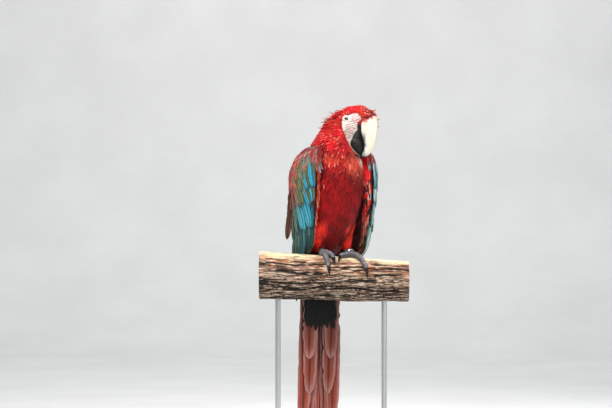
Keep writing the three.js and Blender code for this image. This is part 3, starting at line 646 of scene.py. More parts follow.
def lie(p):
    """Which way the coat lies: back from the bill over the head, then down the neck and body."""
    radial = unit(p - apply(HEAD, np.array([0, -34.0, -4.0])))
    way = unit(mix(radial, np.array([0, 0.1, -1.0]), smooth(44, 88, in_head(p)[3])[:, None]))
    swirl = np.stack([wave_noise(p, 26.0, 20 + k, 2) for k in range(3)], -1)
    return unit(way + 0.16 * swirl)


# ---- feathers ------------------------------------------------------------------------------
QUILL = np.array([-1, -0.82, -0.55, -0.28, -0.05, 0.05, 0.28, 0.55, 0.82, 1.0])


def leaf_outline(t, blunt, base, least):
    """Half widths down a feather from root to tip, as shares of its widest."""
    return np.maximum(np.minimum(1, base + 1.8 * t) * np.sqrt(np.maximum(1 - t**blunt, 0.0)), least)[:, None]


def feather_mesh(name, material, grid, across, rise, tint, t, c, bake=None, fray=0):
    """Feathers as one mesh: n lines with the ways out and across, and how far each point goes."""
    line, outs, sides = (part[:, :, None] for part in grid)
    points = line + sides * across[..., None] + outs * rise[..., None]
    n, rows, columns, _ = points.shape
    for back in (1, 2) if bake is not None else ():
        pulled = np.clip(fray / back, 0, 0.85)[..., None]
        points[:, -back] = mix(points[:, -back], points[:, -back - 1], pulled)
    uv = np.stack(np.broadcast_arrays(c * 0.5 + 0.5, t[:, None]), -1)
    if bake is None:
        wide = math.ceil(math.sqrt(n * 4))
        cell = np.stack([np.arange(n) % wide, np.arange(n) // wide], -1)[:, None, None]
        patch = (cell + 0.05 + 0.9 * uv) / [wide, max(math.ceil(n / wide), 1)]
    else:
        patch = bake[:, None, None] + 0.003 * (uv - 0.5)
    faces = (grid_faces(rows, columns) + (np.arange(n) * rows * columns)[:, None, None]).reshape(-1, 4)
    uv, tint = (np.broadcast_to(part, (*points.shape[:3], part.shape[-1])) for part in (uv, tint))
    obj = make_mesh(name, apply(BIRD, points.reshape(-1, 3)), [faces], material, tint, uv, patch)
    return obj


def vanes(name, material, grid, half, lift, root_tint, tip_tint, bake, columns=5, fray=0.22,
          blunt=2.6, tip=0.12, cup=0.22, under=0.3, fade=1.2, slot="red_plumage"):
    """Feathers as thin cupped vanes on lines (n, rows, 3), with tips that fray into barbs."""
    n, rows, _ = grid[0].shape
    t, c = np.linspace(0, 1, rows), np.linspace(-1, 1, columns)
    across = half[:, None, None] * leaf_outline(t, blunt, 0.55, tip)
    rise = lift[:, None, None] * t[:, None] ** 0.9 + under - cup * across * c**2
    notch = fray * rng.random((n, columns)) + 0.3 * c**2
    notch[:, 1::2] += fray * 0.6
    tint = mix(root_tint[:, None, None], tip_tint[:, None, None], (t**fade)[:, None, None])
    tint = tint * (1 + 0.22 * (rng.random((n, 1, 1, 1)) - 0.5))
    tint = tint * (1 + 0.16 * (rng.random((n, 1, columns, 1)) - 0.5))
    return feather_mesh(name, material, grid, across * c, rise, tint, t, c, bake, notch)


def quills(name, material, grid, half, height, tints, blunt=5.0, base=0.7, wear=0.07, splits=0.12,
           roll=-0.08, rim=0.75, slot="wing_plumage"):
    """Long feathers with a shaft down the middle, worn edges and splits between their barbs."""
    n, rows, _ = grid[0].shape
    t, c, off = np.linspace(0, 1, rows), QUILL, np.abs(QUILL)
    worn = 1 - wear * rng.random((n, rows, 1)) * (off > 0.7)
    split = (rng.random((n, rows, 1)) < splits) * rng.uniform(0.08, 0.3, (n, rows, 1))
    worn = worn - split * np.where(rng.random((n, 1, 1)) < 0.5, c < -0.5, c > 0.5) * off
    wide = half[:, None, None] * leaf_outline(t, blunt, base, 0.05)
    across = wide * c * worn
    shaft = 0.45 * (off < 0.1) * (1 - 0.75 * t[:, None])
    rise = height - 0.1 * wide * c**2 + roll * across + shaft
    rise = rise + 0.25 * rng.standard_normal((n, rows, 1)) * (off > 0.5)
    root, tip, edge = (part[:, None, None] for part in tints)
    edged = rim * np.maximum(smooth(0.45, 1.0, off)[:, None], smooth(0.86, 1.0, t)[:, None, None])
    tint = mix(mix(root, tip, smooth(0.1, 0.95, t)[:, None, None]), edge, edged)
    tint = tint * np.where(off < 0.1, 0.4, 1.0)[:, None]
    streak = 1 + 0.14 * (rng.random((n, rows, len(c), 1)) - 0.5) + 0.2 * (rng.random((n, 1, len(c), 1)) - 0.5)
    tint = tint * streak * (1 + 0.2 * (rng.random((n, 1, 1, 1)) - 0.5))
    return feather_mesh(name, material, grid, across, rise, tint, t, c)


# ---- body coat -----------------------------------------------------------------------------
def regions(p, head_from, head_to, neck_from):
    """How much points belong to the head, the neck and the thighs."""
    head = smooth(head_from, head_to, in_head(p)[3])
    neck = smooth(neck_from, 262, p[:, 2]) * (1 - head)
    return head, neck, smooth(78, 60, p[:, 2]) * smooth(20, 28, np.abs(p[:, 0])) * smooth(60, 48, p[:, 1])


def coat(surface, material):
    """The body's feathers, closer and shorter towards the bill, ruffled on neck and breast."""
    p = surface.middle
    side, forward, up, reach = in_head(p)
    head, neck, thigh = regions(p, 66, 50, 225)
    size = np.where(p[:, 1] < 26, 3.8, 4.8)
    size = mix(size, 2.9, smooth(140, 190, p[:, 2]) * (p[:, 1] < 10))
    for spacing, share in ((2.2, neck), (1.7, head), (3.2, thigh)):
        size = mix(size, spacing, share)
    under_bill = (forward > 30) & (np.abs(side) < 20) & (up > -60) & (up < 27) & (reach < 78)
    size = np.where((face_mask(p) > 0.4) | (jaw_mask(p) > 0.2) | under_bill, 0, size)
    roots = surface.scatter(size)
    count, (_, y, z) = len(roots), roots.T
    side, forward, up, _ = in_head(roots)
    head, neck, thigh = regions(roots, 68, 48, 222)
    ruffled = smooth(140, 190, z) * smooth(22, 4, y) * (1 - head)
    under = smooth(46, 26, z) * (y < 60)
    grow = smooth(6, 70, np.linalg.norm(np.stack([side, forward - 34, up + 4], -1), axis=-1))
    shape = np.full((count, 3), [25.0, 3.2, 2.6])
    for share, size in (
        (ruffled, (24, 2.2, 4.2)), (neck, (24, 1.7, 4.6)), (under, (31, 3.4, 2.6)), (thigh, (19, 2.9, 3.4)),
        (head, np.stack([4.5 + 10.5 * grow, 0.8 + 0.8 * grow, 1.2 + 2.6 * grow], -1)),
    ):
        shape = mix(shape, np.array(size), share[:, None])
    spread = ((0.85, 1.2), (0.85, 1.15), (0.7, 1.5))
    length, half, lift = (shape[:, k] * rng.uniform(*spread[k], count) for k in range(3))
    grid = surface.walk(roots, lie(roots), length, 6)
    tip = body_tint(grid[0][:, -1])
    # Patches of the neck and ruffled breast feathers are darker, most at their roots: painted shade between the
    # clumps.
    clump_shade = smooth(-0.1, 0.7, wave_noise(roots, 11.0, 61, 2)) * np.maximum(neck, 0.7 * ruffled)
    dark = mix(mix(mix(0.85, 0.5, ruffled), 0.28, neck), 0.36, head)
    root = tip * (dark * (1 - 0.6 * clump_shade))[:, None]
    tip = tip * (1 - 0.35 * clump_shade)[:, None]
    # The pale pink tips on some neck, head and upper breast feathers are painted highlights.
    chance = 0.16 * neck + 0.12 * head + 0.04 * ruffled * smooth(172, 196, z) * (1 - neck)
    pale = (rng.random(count) < chance)[:, None]
    tip = np.where(pale, mix(tip, srgb(240, 132, 118), 0.6), tip)
    on_head, on_neck, bake = head > 0.5, neck > 0.35, unwrap(roots)
    fine, coarse = {"fray": 0.62, "cup": 0.3, "fade": 1.0}, {"fray": 0.5, "cup": 0.24, "fade": 0.7}
    for name, chosen, looks in (
        ("coat_head", on_head, fine), ("coat_neck", ~on_head & on_neck, fine),
        ("coat_breast", ~on_head & ~on_neck & (y < 22), coarse),
        ("coat_back", ~on_head & ~on_neck & (y >= 22), coarse),
    ):
        parts = (part[chosen] for part in (half, lift, root, tip, bake))
        vanes(name, material, [part[chosen] for part in grid], *parts, blunt=2.2, **looks)


# Name, count, ranges of places forward, aside and up, of length, of how far they stand and of half
# width, shades and share of pale ones.
TUFTS = (
    ("forehead", 300, (20, 43), (-21, 21), (24, 50), (15, 27), (0.9, 4.2), (1.0, 1.9), (0.3, 0.6, 1.0, 1.25), 0.16),
    ("far_cheek", 110, (27, 40), (12, 24), (6, 42), (14, 24), (4.0, 9.0), (1.0, 1.8), (0.7, 0.85, 1.0, 1.25), 0),
    ("nape", 190, (-38, -8), (-25, 25), (-22, 28), (17, 27), (4.0, 9.0), (1.2, 2.1), (0.3, 0.6, 1.0, 1.25), 0),
)
TUFT_ROWS = 7


def tufts(surface, material):
    """Loose spiky feathers that stand up on the forehead over the bill, and out from the nape."""
    steps = np.linspace(0, 1, TUFT_ROWS)
    for name, count, forward, aside, height, long, stand, half, shades, pale in TUFTS:
        spots = np.stack([rng.uniform(*r, count * 6) for r in (aside, forward, height)], -1) * [1, -1, 1]
        roots = surface.nearest(apply(HEAD, spots), 9.0)[0]
        roots = roots[(face_mask(roots) < 0.3) | (name == "far_cheek")][:count]
        n, s = len(roots), in_head(roots)[0]
        if name == "far_cheek":
            way = [0.9 + rng.normal(0, 0.4, n), np.full(n, -0.8), rng.normal(0.0, 0.4, n)]
        elif name == "forehead":
            way = [0.6 * s / 18 + rng.normal(0, 0.45, n), np.full(n, -1.0), np.full(n, 0.1)]
        else:
            way = [s / 40 + rng.normal(0, 0.25, n), np.full(n, 1.0), np.full(n, -0.35)]
        length = rng.uniform(*long, n) + (name == "forehead") * 7 * smooth(-4, 6, s)
        out = surface.nearest(roots)[1]
        along = level(unit(np.stack(way, -1)) @ HEAD_TURN, out, 0.85)
        line = roots[:, None] + along[:, None] * (length[:, None] * steps)[..., None]
        line = line + out[:, None] * (rng.uniform(*stand, (n, 1)) * steps**1.3)[..., None]
        tip = body_tint(roots) * rng.choice(shades, (n, 1))
        # The pale pink tufts, only on the forehead, are painted highlights.
        tip = np.where((rng.random(n) < pale)[:, None], srgb(232, 150, 146), tip)
        vanes(
            f"tufts_{name}", material, hung(line, out), rng.uniform(*half, n), np.full(n, 0.6), tip * 0.5, tip,
            unwrap(roots), fray=0.7, blunt=1.6, cup=0.35, tip=0.05,
        )


def hung(line, out):
    """Lines of feathers that leave the skin, with one way out each and the ways across."""
    outs = np.repeat(out[:, None], line.shape[1], axis=1)
    return line, outs, unit(np.cross(np.gradient(line, axis=1), outs))


def vent(surface, material):
    """Dark red feathers that hang under the belly behind the perch."""
    count, steps = 320, np.linspace(0, 1, TUFT_ROWS)
    spots = np.stack([rng.uniform(*r, count) for r in ((-42, 48), (48, 98), (-14, 34))], -1)
    roots, out = surface.nearest(spots)
    way = unit(np.array([0, 0.2, -1.0]) + 0.3 * out + rng.normal(0, 0.1, (count, 3)))
    line = roots[:, None] + way[:, None] * (rng.uniform(20, 34, (count, 1)) * steps)[..., None]
    tip = srgb(92, 10, 12) * rng.uniform(0.4, 1.2, (count, 1))
    vanes(
        "vent_feathers", material, hung(line, level(out, way)), rng.uniform(2.4, 4.2, count),
        rng.uniform(0.4, 2.0, count), tip * 0.5, tip, unwrap(roots), columns=7, fray=0.5,
    )


# ---- wings ---------------------------------------------------------------------------------
BLUE, SKY, TEAL = srgb(30, 140, 170), srgb(70, 156, 176), srgb(36, 112, 116)
OLIVE, DARK, RUST = srgb(98, 108, 76), srgb(20, 24, 25), srgb(164, 34, 30)
# Q, V and W are pale turquoises and a near white for the left wing's front edge: partly its own colour, partly
# painted highlight.
PAINTS = {
    "B": BLUE, "S": SKY, "T": TEAL, "O": OLIVE, "D": DARK, "R": RUST, "G": srgb(90, 110, 98),
    "C": srgb(206, 84, 56), "F": srgb(150, 70, 74), "P": srgb(196, 122, 118), "Y": srgb(118, 106, 98),
    "Q": srgb(142, 204, 190), "V": srgb(170, 214, 200), "W": srgb(222, 236, 226), "U": RUST * 0.5,
    "K": mix(TEAL, DARK, 0.45), "E": srgb(176, 22, 26), "H": srgb(206, 64, 50), "I": srgb(200, 120, 104),
}


def sheet(side, u, z):
    """Points of the folded wing's sheet, and the ways out from it and across it to the back."""
    u, z = np.broadcast_arrays(np.asarray(u, float), np.asarray(z, float))

    def at(u, z):
        rows, w = look(WING, z), u[..., None]
        front, bulge, back, loose = rows[..., 0:2], rows[..., 2:4], rows[..., 4:6], rows[..., 6]
        bulge = 2 * bulge - 0.5 * front - 0.5 * back
        q = front * (1 - w) ** 2 + bulge * 2 * w * (1 - w) + back * w**2
        return np.stack([side * (q[..., 0] + (loose if side > 0 else 0)), q[..., 1], z], -1)

    across = at(u + 0.01, z) - at(u - 0.01, z)
    out = unit(np.cross(across, at(u, z + 1) - at(u, z - 1))) * side
    return at(u, z), out, unit(across)


def core_bottom(u):
    return mix(CORE_ENDS["front"], CORE_ENDS["back"], (u - CORE_MARGIN) / (1 - 2 * CORE_MARGIN))


def core_lift(u, z, inner=False):
    """How far the wing's core stands out from the sheet at a place on it."""
    down = (CORE_ENDS["top"] - z) / (CORE_ENDS["top"] - core_bottom(u))
    lift = np.interp(down, CORE[:, 0], CORE[:, 2 if inner else 1])
    edge = 1 - np.abs(np.clip(2 * (u - CORE_MARGIN) / (1 - 2 * CORE_MARGIN) - 1, -1, 1)) ** 7
    return lift if inner else np.where(lift > 0.5, mix(0.5, lift, edge), lift)


def wing_core(side, title, material):
    """The covered arm under the feathers, as one closed slab."""
    u = np.linspace(CORE_MARGIN, 1 - CORE_MARGIN, 24)
    rings = []
    for down in np.linspace(0, 1, 40):
        z = mix(CORE_ENDS["top"], core_bottom(u), down)
        point, out, _ = sheet(side, u, z)
        outer, inner = (core_lift(u, z) - 0.8)[:, None], (core_lift(u, z, True) + 0.8)[:, None]
        rings.append(np.concatenate([point + out * outer, (point + out * inner)[::-1]]))
    points, faces = loft(np.array(rings))
    tint = srgb(96, 30, 30) * (1 + 0.3 * wave_noise(points, 18, 5))[:, None]
    uv = np.stack([np.linspace(0, 1, len(points)), points[:, 2] / 500 + 0.4], -1)
    core = make_mesh(f"wing_core_{title}", apply(BIRD, points), faces, material, tint, uv, uv)
    return core


def hang(side, root_u, root_z, tip_u, tip_z, rows):
    """Lines on the wing's sheet from roots to tips, with the ways out and across at each step."""
    t = np.linspace(0, 1, rows)[None]
    u, z = mix(root_u[:, None], tip_u[:, None], t), mix(root_z[:, None], tip_z[:, None], t)
    point, out, across = sheet(side, u, z)
    return (point, out, level(across, unit(np.gradient(point, axis=1)))), u, z


def patchwork(share, stops, words):
    """For each feather a colour picked at random from the list for the nearest stop.

    The lists are written with bars between them. A colour is a letter of PAINTS, or two and the
    second one's share.
    """
    rows = [[
        mix(PAINTS[w[0]], PAINTS[w[1]], float(w[2:])) if w[1:] else PAINTS[w] for w in row.split()
    ] for row in words.split("|")]
    at = np.interp(share, stops, np.arange(len(rows))) + rng.uniform(-0.35, 0.35, len(share))
    nearest = np.clip(np.round(at), 0, len(rows) - 1).astype(int)
    return np.array([rows[k][rng.integers(len(rows[k]))] for k in nearest])


def paint_edge_highlights(side, share, tint):
    """Tints of the left wing, whose front outer feathers are a pale turquoise, partly their own colour and partly
    painted highlight where the light catches that edge.
    """
    if side < 0:
        return tint
    bright = patchwork(share, [0, 1], "Q S V W TD.6|Q S V W TD.6")
    return mix(tint, bright, (0.92 * smooth(0.55, 0.35, share))[:, None])


# Rows of long feathers: name, count, points along each, ranges across the wing and of the height of
# roots and tips from front to back, slant, half width and lift, then how they are shaped. With them
# go the stops and colours of their roots and tips, and how bright their edges are.
SECONDARIES = (
    ([0, 0.16, 0.34, 0.6, 1], "KD.5|KD.3 TG.5|G GT.4|G TB.4|GR.3"),
    ([0, 0.12, 0.3, 0.6, 1], "D DT.3|D BD.6|GD.5 TD.3|TB.5 G|GB.5 GD.4"), 0.7,
)
GREATER = (
    ([0, 0.09, 0.2, 0.34, 0.5, 1], "BD.75|BS.4 BD.4|SB.5 O|OD.3 SO.6|O OT.5|O OR.4"),
    ([0, 0.09, 0.2, 0.34, 0.5, 1], "BD.6|ST.4 S|S GD.3|S G SG.6|G GT.5|G"), 1,
)
MEDIAN = (
    ([0, 0.065, 0.13, 0.2, 0.28, 0.4, 0.5, 1], "BD.6 OD.5|B|OD.5|BD.2 OD.3|OD.4 O|O OF.5|C F|C R"),
    ([0, 0.065, 0.13, 0.2, 0.28, 0.4, 0.52], "BD.4 OD.3|BS.5|OD.3 G|BS.3 O|O OT.4|O OP.4|C F"), 1,
)
TIERS = (
    ("primaries", 8, 20, (0.2, 0.62), (70, 12), (-10, -110), 0.0, 11.5, -9.2, None,
     {"stack": 1.2, "roll": 0.0, "rim": 0.6}),
    ("secondaries", 13, 18, (0.10, 0.98), (110, 66), (3, -46), 0.10, 10.6, 2.6, SECONDARIES,
     {"stack": -0.05, "blunt": 6.0}),
    ("greater_coverts", 14, 16, (0.12, 0.99), (150, 124), (70, 34), 0.2, 9.4, 5.0, GREATER, {"loose": 0.5}),
    ("median_coverts_low", 16, 14, (0.10, 0.98), (190, 172), (126, 96), 0.17, 7.2, 7.4, MEDIAN, {}),
    ("median_coverts_top", 17, 12, (0.09, 0.98), (212, 200), (158, 138), 0.14, 6.0, 9.0, MEDIAN, {}),
)


def wing_tier(side, title, material, name, count, rows, u, root, tip, slant, half, lift, colours,
              loose=0.25, stack=0.0, **shape):
    """One row of long feathers, from the wing's front edge to its back."""
    share = np.linspace(0, 1, count)
    root_u = mix(*u, share) + rng.uniform(-0.012, 0.012, count)
    tip_u = root_u - slant * rng.uniform(1 - loose, 1 + loose, count)
    tip_u = np.maximum(tip_u, 0.035 + 0.25 * root_u)
    tip_z = mix(*tip, share) + rng.uniform(-4, 4, count)
    grid = hang(side, root_u, mix(*root, share), tip_u, tip_z, rows)[0]
    rise = lift + stack * np.arange(count)[:, None, None]
    rise = rise + 0.8 * np.linspace(0, 1, rows)[:, None] + rng.uniform(-0.25, 0.25, (count, 1, 1))
    widths = half * rng.uniform(0.92, 1.06, count)
    if colours:
        tints = [patchwork(share, *part) for part in colours[:2]]
        tints = [paint_edge_highlights(side, share, tint) for tint in tints]
    else:
        base = by_share(share, [0, 1], [mix(BLUE, DARK, 0.55), mix(BLUE, DARK, 0.7)])
        tints = [base, base * 0.8]
    tints.append(np.tile(DARK * (colours[2] if colours else 1), (count, 1)))
    quills(f"{name}_{title}", material, grid, widths, rise, tints, **shape)


def wing(side, title, material):
    for tier in TIERS:
        wing_tier(side, title, material, *tier[:-1], **tier[-1])
    heights, count = np.arange(262, 170, -6.4), 32
    share = (np.arange(count) + 0.5 * (np.arange(len(heights)) % 2)[:, None]) / (count - 0.5)
    place = np.stack([0.03 + 0.94 * share, np.broadcast_to(heights[:, None], share.shape)], -1).reshape(-1, 2)
    place = place + rng.uniform(-1, 1, place.shape) * [0.014, 2.6]
    u, z = place[(place[:, 0] > 0.16) | (place[:, 1] > 214)].T
    length = rng.uniform(21, 30, len(u)) * mix(0.8, 1.15, smooth(260, 190, z))
    (line, *ways), u_at, z_at = hang(side, u, z, u - 0.05, z - length, 7)
    line = line + ways[0] * (core_lift(u_at, z_at) - 0.4)[..., None]
    shoulder = patchwork(u, [0, 0.12, 0.26, 0.46, 1], "U RD.6|F R Y|F Y P OY.5|C F P R|C R")
    lower = patchwork(u, [0, 0.16, 0.3, 0.44, 0.6], "OB.5 O Y|O OD.4|O Y OD.4|F C O|C R")
    tip = paint(shoulder, (lower, smooth(246, 196, z) * smooth(0.62, 0.4, u)))
    if side > 0:
        tip = paint(paint_edge_highlights(side, u, tip), (REDS["nape"], smooth(212, 236, z) * 0.85))
    vanes(
        f"lesser_coverts_{title}", material, (line, *ways), rng.uniform(2.5, 3.9, len(u)),
        rng.uniform(2.0, 4.2, len(u)), tip * 0.35, tip, np.stack([u, (z + 160) / 450], -1),
        columns=7, fray=0.55, blunt=2.0, slot="wing_plumage",
    )
    front_edge(side, title, material)
    (stray if side < 0 else inner_wall)(side, material)


def inner_wall(side, material):
    """Long brown feathers with pinkish edges down the left wing's inner wall, by the body."""
    rows, count = 16, 9
    depth = np.linspace(0.24, 1.0, count) + rng.uniform(-0.03, 0.03, count)
    root_z, tip_z = rng.uniform(120, 150, count)[:, None], np.linspace(-14, 22, count)[:, None]
    z = mix(root_z, tip_z, np.linspace(0, 1, rows)[None])
    u = np.full_like(z, CORE_MARGIN)
    point, out, across = sheet(side, u, z)
    inset = core_lift(u, np.maximum(z, 50), True) * depth[:, None]
    line = point + out * inset[..., None] - across * (2.2 - 0.2 * np.arange(count))[:, None, None]
    browns = [srgb(120, 78, 62), srgb(160, 108, 88), srgb(176, 60, 50)]
    edges = [srgb(206, 154, 136), srgb(30, 24, 22), srgb(220, 168, 148)]
    base, edge = (by_share(rng.random(count), [0, 0.5, 1], three) for three in (browns, edges))
    quills("inner_wall_left", material, (line, -across, out), rng.uniform(2.6, 3.8, count),
           np.zeros((count, rows, 1)), (base * 0.7, base, edge), roll=0.0, rim=0.55)


def stray(side, material):
    """A long dark feather that has slipped out of the wing and hangs clear of it."""
    t = np.linspace(0, 1, 22)
    z = mix(STRAY["root"], STRAY["tip"], t)[None]
    point, out, _ = sheet(side, np.full_like(z, STRAY["across"]), z)
    line = point + out * (STRAY["swing"] * t)[:, None]
    facing = unit(np.cross(side * Z_WAY, out))
    brown = srgb(92, 62, 50)[None]
    quills("stray_feather", material, (line, facing, out), np.array([STRAY["half"]]), 0.0,
           (brown * 0.6, brown, brown * 0.5), roll=0.0, blunt=6.0)


def front_edge(side, title, material):
    """Small feathers on the thick front edge of the wing, between its outer face and the body."""
    count, tall = (7, 40) if side > 0 else (5, 36)
    n = tall * count
    z = np.repeat(np.linspace(250, 40, tall), count) + rng.uniform(-3, 3, n)
    depth = np.tile(np.linspace(0, 1, count), tall) + rng.uniform(-0.08, 0.08, n)
    length = rng.uniform(20, 27, n) * (1.5 if side > 0 else 1)
    z_at = z[:, None] - length[:, None] * np.linspace(0, 1, 6)
    u = np.full_like(z_at, CORE_MARGIN)
    point, out, across = sheet(side, u, z_at)
    line = point + out * (core_lift(u, z_at, True) * depth[:, None])[..., None]
    facing = unit(-across + 0.3 * out * (1 - 2 * depth)[:, None, None])
    pick = rng.random(n)

    def three(*colours, middle=0.5):
        return by_share(pick, [0, middle, 1], colours)

    if side > 0:
        tip = patchwork(pick, [0, 1], "E H D R D I|E H D R D I")
        tip = paint(tip, (three(srgb(140, 84, 64), DARK, srgb(190, 132, 108)), smooth(120, 60, z)))
        # At the outermost edge some pale turquoise feathers, partly their own colour and partly painted highlight;
        # just inside, a line of dark ones: painted shade in the fold.
        pale = three(mix(SKY, TEAL, 0.3), srgb(150, 200, 200), SKY)
        tip = np.where(((depth < 0.1) & (pick > 0.8) & (z > 30))[:, None], pale, tip)
        tip = np.where(((np.abs(depth - 0.16) < 0.12) & (pick < 0.25))[:, None], DARK, tip)
        tip = paint(tip, (REDS["neck"], smooth(196, 214, z)))
    else:
        tip = three(srgb(214, 60, 40), srgb(176, 32, 26), srgb(226, 160, 128), middle=0.6)
        tip = np.where(((z < 40) & (pick < 0.5))[:, None], mix(TEAL, DARK, 0.5), tip)
    vanes(
        f"wing_front_{title}", material, (line, facing, out), rng.uniform(2.6, 4.2, n) * (0.75 if side > 0 else 1),
        rng.uniform(2.0, 4.4, n), tip * 0.5, tip, np.stack([0.02 + 0.2 * depth, (z + 160) / 450], -1),
        columns=7, fray=0.4, slot="wing_plumage",
    )


# ---- tail ----------------------------------------------------------------------------------
def tail_place(x, z):
    """Points of the tail's sheet, and the ways out and across there."""
    y, aside = np.moveaxis(look(TAIL_LINE, z), -1, 0)
    slope = (look(TAIL_LINE, z + 2) - look(TAIL_LINE, z - 2))[..., 0]
    out = unit(np.stack([0 * z, 4 + 0 * z, -slope], -1))
    return np.stack([x + aside, y, z], -1), out, np.broadcast_to(X_WAY, out.shape)


def tail(material):
    t = np.linspace(0, 1, 30)[None]
    places = [(s * a, s * b, z, k) for k, (a, b, z) in enumerate(TAIL_PAIRS) for s in (-1, 1)]
    root_x, tip_x, tip_z, pair = np.array(places, float).T[..., None]
    grid = tail_place(mix(root_x, tip_x, t), mix(-6.0, tip_z, t))
    count = len(places)
    red, brown = srgb(146, 54, 44), srgb(120, 58, 44)
    tip = by_share(pair[:, 0] / 5, [0, 0.5, 1], [red, mix(red, brown, 0.5), brown])
    # The near-black roots of the tail under the perch are painted shadow of the perch.
    root, edge = (np.tile(one, (count, 1)) for one in (srgb(30, 18, 13), mix(srgb(176, 140, 134), brown, 0.25)))
    quills(
        "tail_feathers", material, grid, np.full(count, 19.2), 5.8 - 1.15 * np.arange(count)[:, None, None],
        (root, tip, edge), roll=0.0, blunt=9.0, base=0.75, slot="tail_plumage", splits=0.16, wear=0.1, rim=0.6,
    )
    t = np.linspace(0, 1, 8)
    for face, name, count, top in ((1, "tail_coverts_back", 90, -58), (-1, "tail_coverts_front", 150, -126)):
        x, z0, length = (rng.uniform(*r, count) for r in ((-36, 36), (top, 6), (36, 54)))
        z = z0[:, None] - length[:, None] * t
        line, out, across = tail_place(x[:, None] * mix(0.8, 1.15, t), z)
        line = line + face * out * (mix(14.0, 9.0, smooth(0, -40, z)) - 1.5)[..., None]
        # The front coverts, nearly black with some dark red near the top, are darkened further: painted shadow of
        # the perch.
        perch_shaded_coverts = mix(DARK * 0.8, srgb(96, 14, 14), rng.random((count, 1)) * smooth(-40, 0, z0)[:, None])
        colour = perch_shaded_coverts * 0.6 if face < 0 else mix(BLUE, SKY, rng.random((count, 1)))
        vanes(
            name, material, (line, face * out, face * across), rng.uniform(6, 9, count),
            rng.uniform(1.5, 3.5, count), colour * 0.5, colour, np.stack([0.5 + x / 80, 0.5 + z0 / 200], -1),
            columns=7, fray=0.3, slot="tail_plumage",
        )


# ---- head pieces ---------------------------------------------------------------------------
def bill_rings(stations, rows, around, blunt):
    """Rings of a bill with a ridge and a cutting edge, with their stations and angles."""
    at = np.linspace(0, len(stations) - 1, rows)
    ridge_f, ridge_z, edge_f, edge_z, half = spline(stations, rows).T
    ridge, edge = (np.stack([0 * half, -f, z], -1) for f, z in ((ridge_f, ridge_z), (edge_f, edge_z)))
    upward = np.sin(circle(around))
    wide = np.cos(circle(around)) * (1 - blunt * np.maximum(upward, 0) ** 2)
    rings = ((ridge + edge) / 2)[:, None] + ((ridge - edge) / 2)[:, None] * upward[:, None]
    return rings + half[:, None, None] * wide[:, None] * X_WAY, at[:, None], upward[None]


def swell(rings, share):
    centre = rings.mean(1, keepdims=True)
    return centre + (rings - centre) * share[..., None]


def bill(material, dark_material):
    """Both halves of the bill; the upper one's points and quads are given back for the lore."""
    ivory, shaded_edge_blue, black = srgb(212, 205, 188), srgb(88, 114, 128), srgb(24, 22, 21)
    rings, at, upward = bill_rings(BILL_UPPER, 110, 96, 0.55)
    wobble = wave_noise(rings, 14.0, 31, 2)
    growth = 0.10 * np.sin(at * 16 + 2 * wobble) * (upward > -0.9)
    rings = swell(rings, 1 + 0.004 * growth + 0.006 * wobble)
    forward, height = -rings[..., 1], rings[..., 2]
    ahead = forward - np.interp(height, [-60, -34, -20, 0, 12, 17, 24], [58, 56.5, 50.5, 44.8, 42, 38, 24])
    patch = smooth(0.9, -0.9, ahead + 0.9 * wobble) * smooth(0.55, 0.2, upward)
    # A blue-grey band low on the bill's side, ahead of the black patch: painted shade along the cutting edge.
    rim = smooth(13.0, 7.0, ahead + wobble) * smooth(2, -20, height)
    rim = rim * (0.7 + 0.3 * smooth(-0.3, 0.3, wave_noise(rings, 6.0, 35, 2)))
    tip = smooth(7.0, 7.5, at + 0.15 * wobble)
    tint = paint(
        ivory, (shaded_edge_blue, rim), (black, np.clip(patch + tip, 0, 1)),
        (srgb(112, 10, 18), patch * smooth(7, 13, height)),
    ) * (1 - 0.10 * smooth(0.2, 0.9, np.sin(at * 9 + 3 * wobble)))[..., None]
    points, faces = loft(rings)
    horn_surface = apply(HEAD, points), faces[0]
    uv = points[:, 1:] / 200 + 0.5
    upper = make_mesh(
        "bill_upper_horn", apply(BIRD @ HEAD, points), faces, material, with_ends(tint, black), bake_uv=uv,
    )
    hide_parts("bill_upper")
    rings = bill_rings(BILL_LOWER, 50, 72, 0.1)[0]
    scuff = wave_noise(rings, 9.0, 33, 3)
    rings = swell(rings, 0.985 + 0.006 * scuff)
    horn = paint(srgb(17, 15, 14), (srgb(38, 34, 30), smooth(0.2, 0.9, scuff) * 0.6))
    in_black = smooth(-0.8, 0.5, inside_outline(-rings[..., 1], rings[..., 2], JAW) + 0.3 * scuff)
    points, faces = loft(rings)
    tint = with_ends(paint(srgb(186, 178, 166), (horn, in_black)), black)
    uv = points[:, 1:] / 200 + 0.5
    lower = make_mesh("bill_lower_horn", apply(BIRD @ HEAD, points), faces, dark_material, tint, bake_uv=uv)
    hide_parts("bill_lower")
    return horn_surface


def nostrils(material):
    """The nostrils in the bare band over the bill, as small bumps painted dark: painted shade in place of their
    openings.
    """
    wide, deep = np.array([[0.0, 1.5], [0.7, 1.1], [1.0, 0.3], [0.8, -0.6], [0.3, -1.4]]).T
    for side, title in SIDES:
        centre = np.stack([side * (8.2 + deep * 0.9), 0 * deep - 43.0, 0 * deep + 31.0], -1)
        points, faces = loft(ring(centre, Y_WAY, Z_WAY, 2.2 * wide, 1.8 * wide, 24))
        tint = np.tile(srgb(40, 30, 28), (len(points), 1))
        hole = make_mesh(f"nostril_{title}", apply(BIRD @ HEAD, points), faces, material, tint)


# How far the lid stands from the eye's axis and along it, in the eye's radius, and how creased it is.
LID = np.array([
    [0.62, 0.80, 0], [0.65, 0.90, 0], [0.71, 0.98, 0.3], [0.80, 0.98, 0.7], [0.91, 0.90, 1],
    [1.03, 0.82, 1], [1.15, 0.73, 1], [1.28, 0.60, 0.6], [1.44, 0.38, 0.2],
])


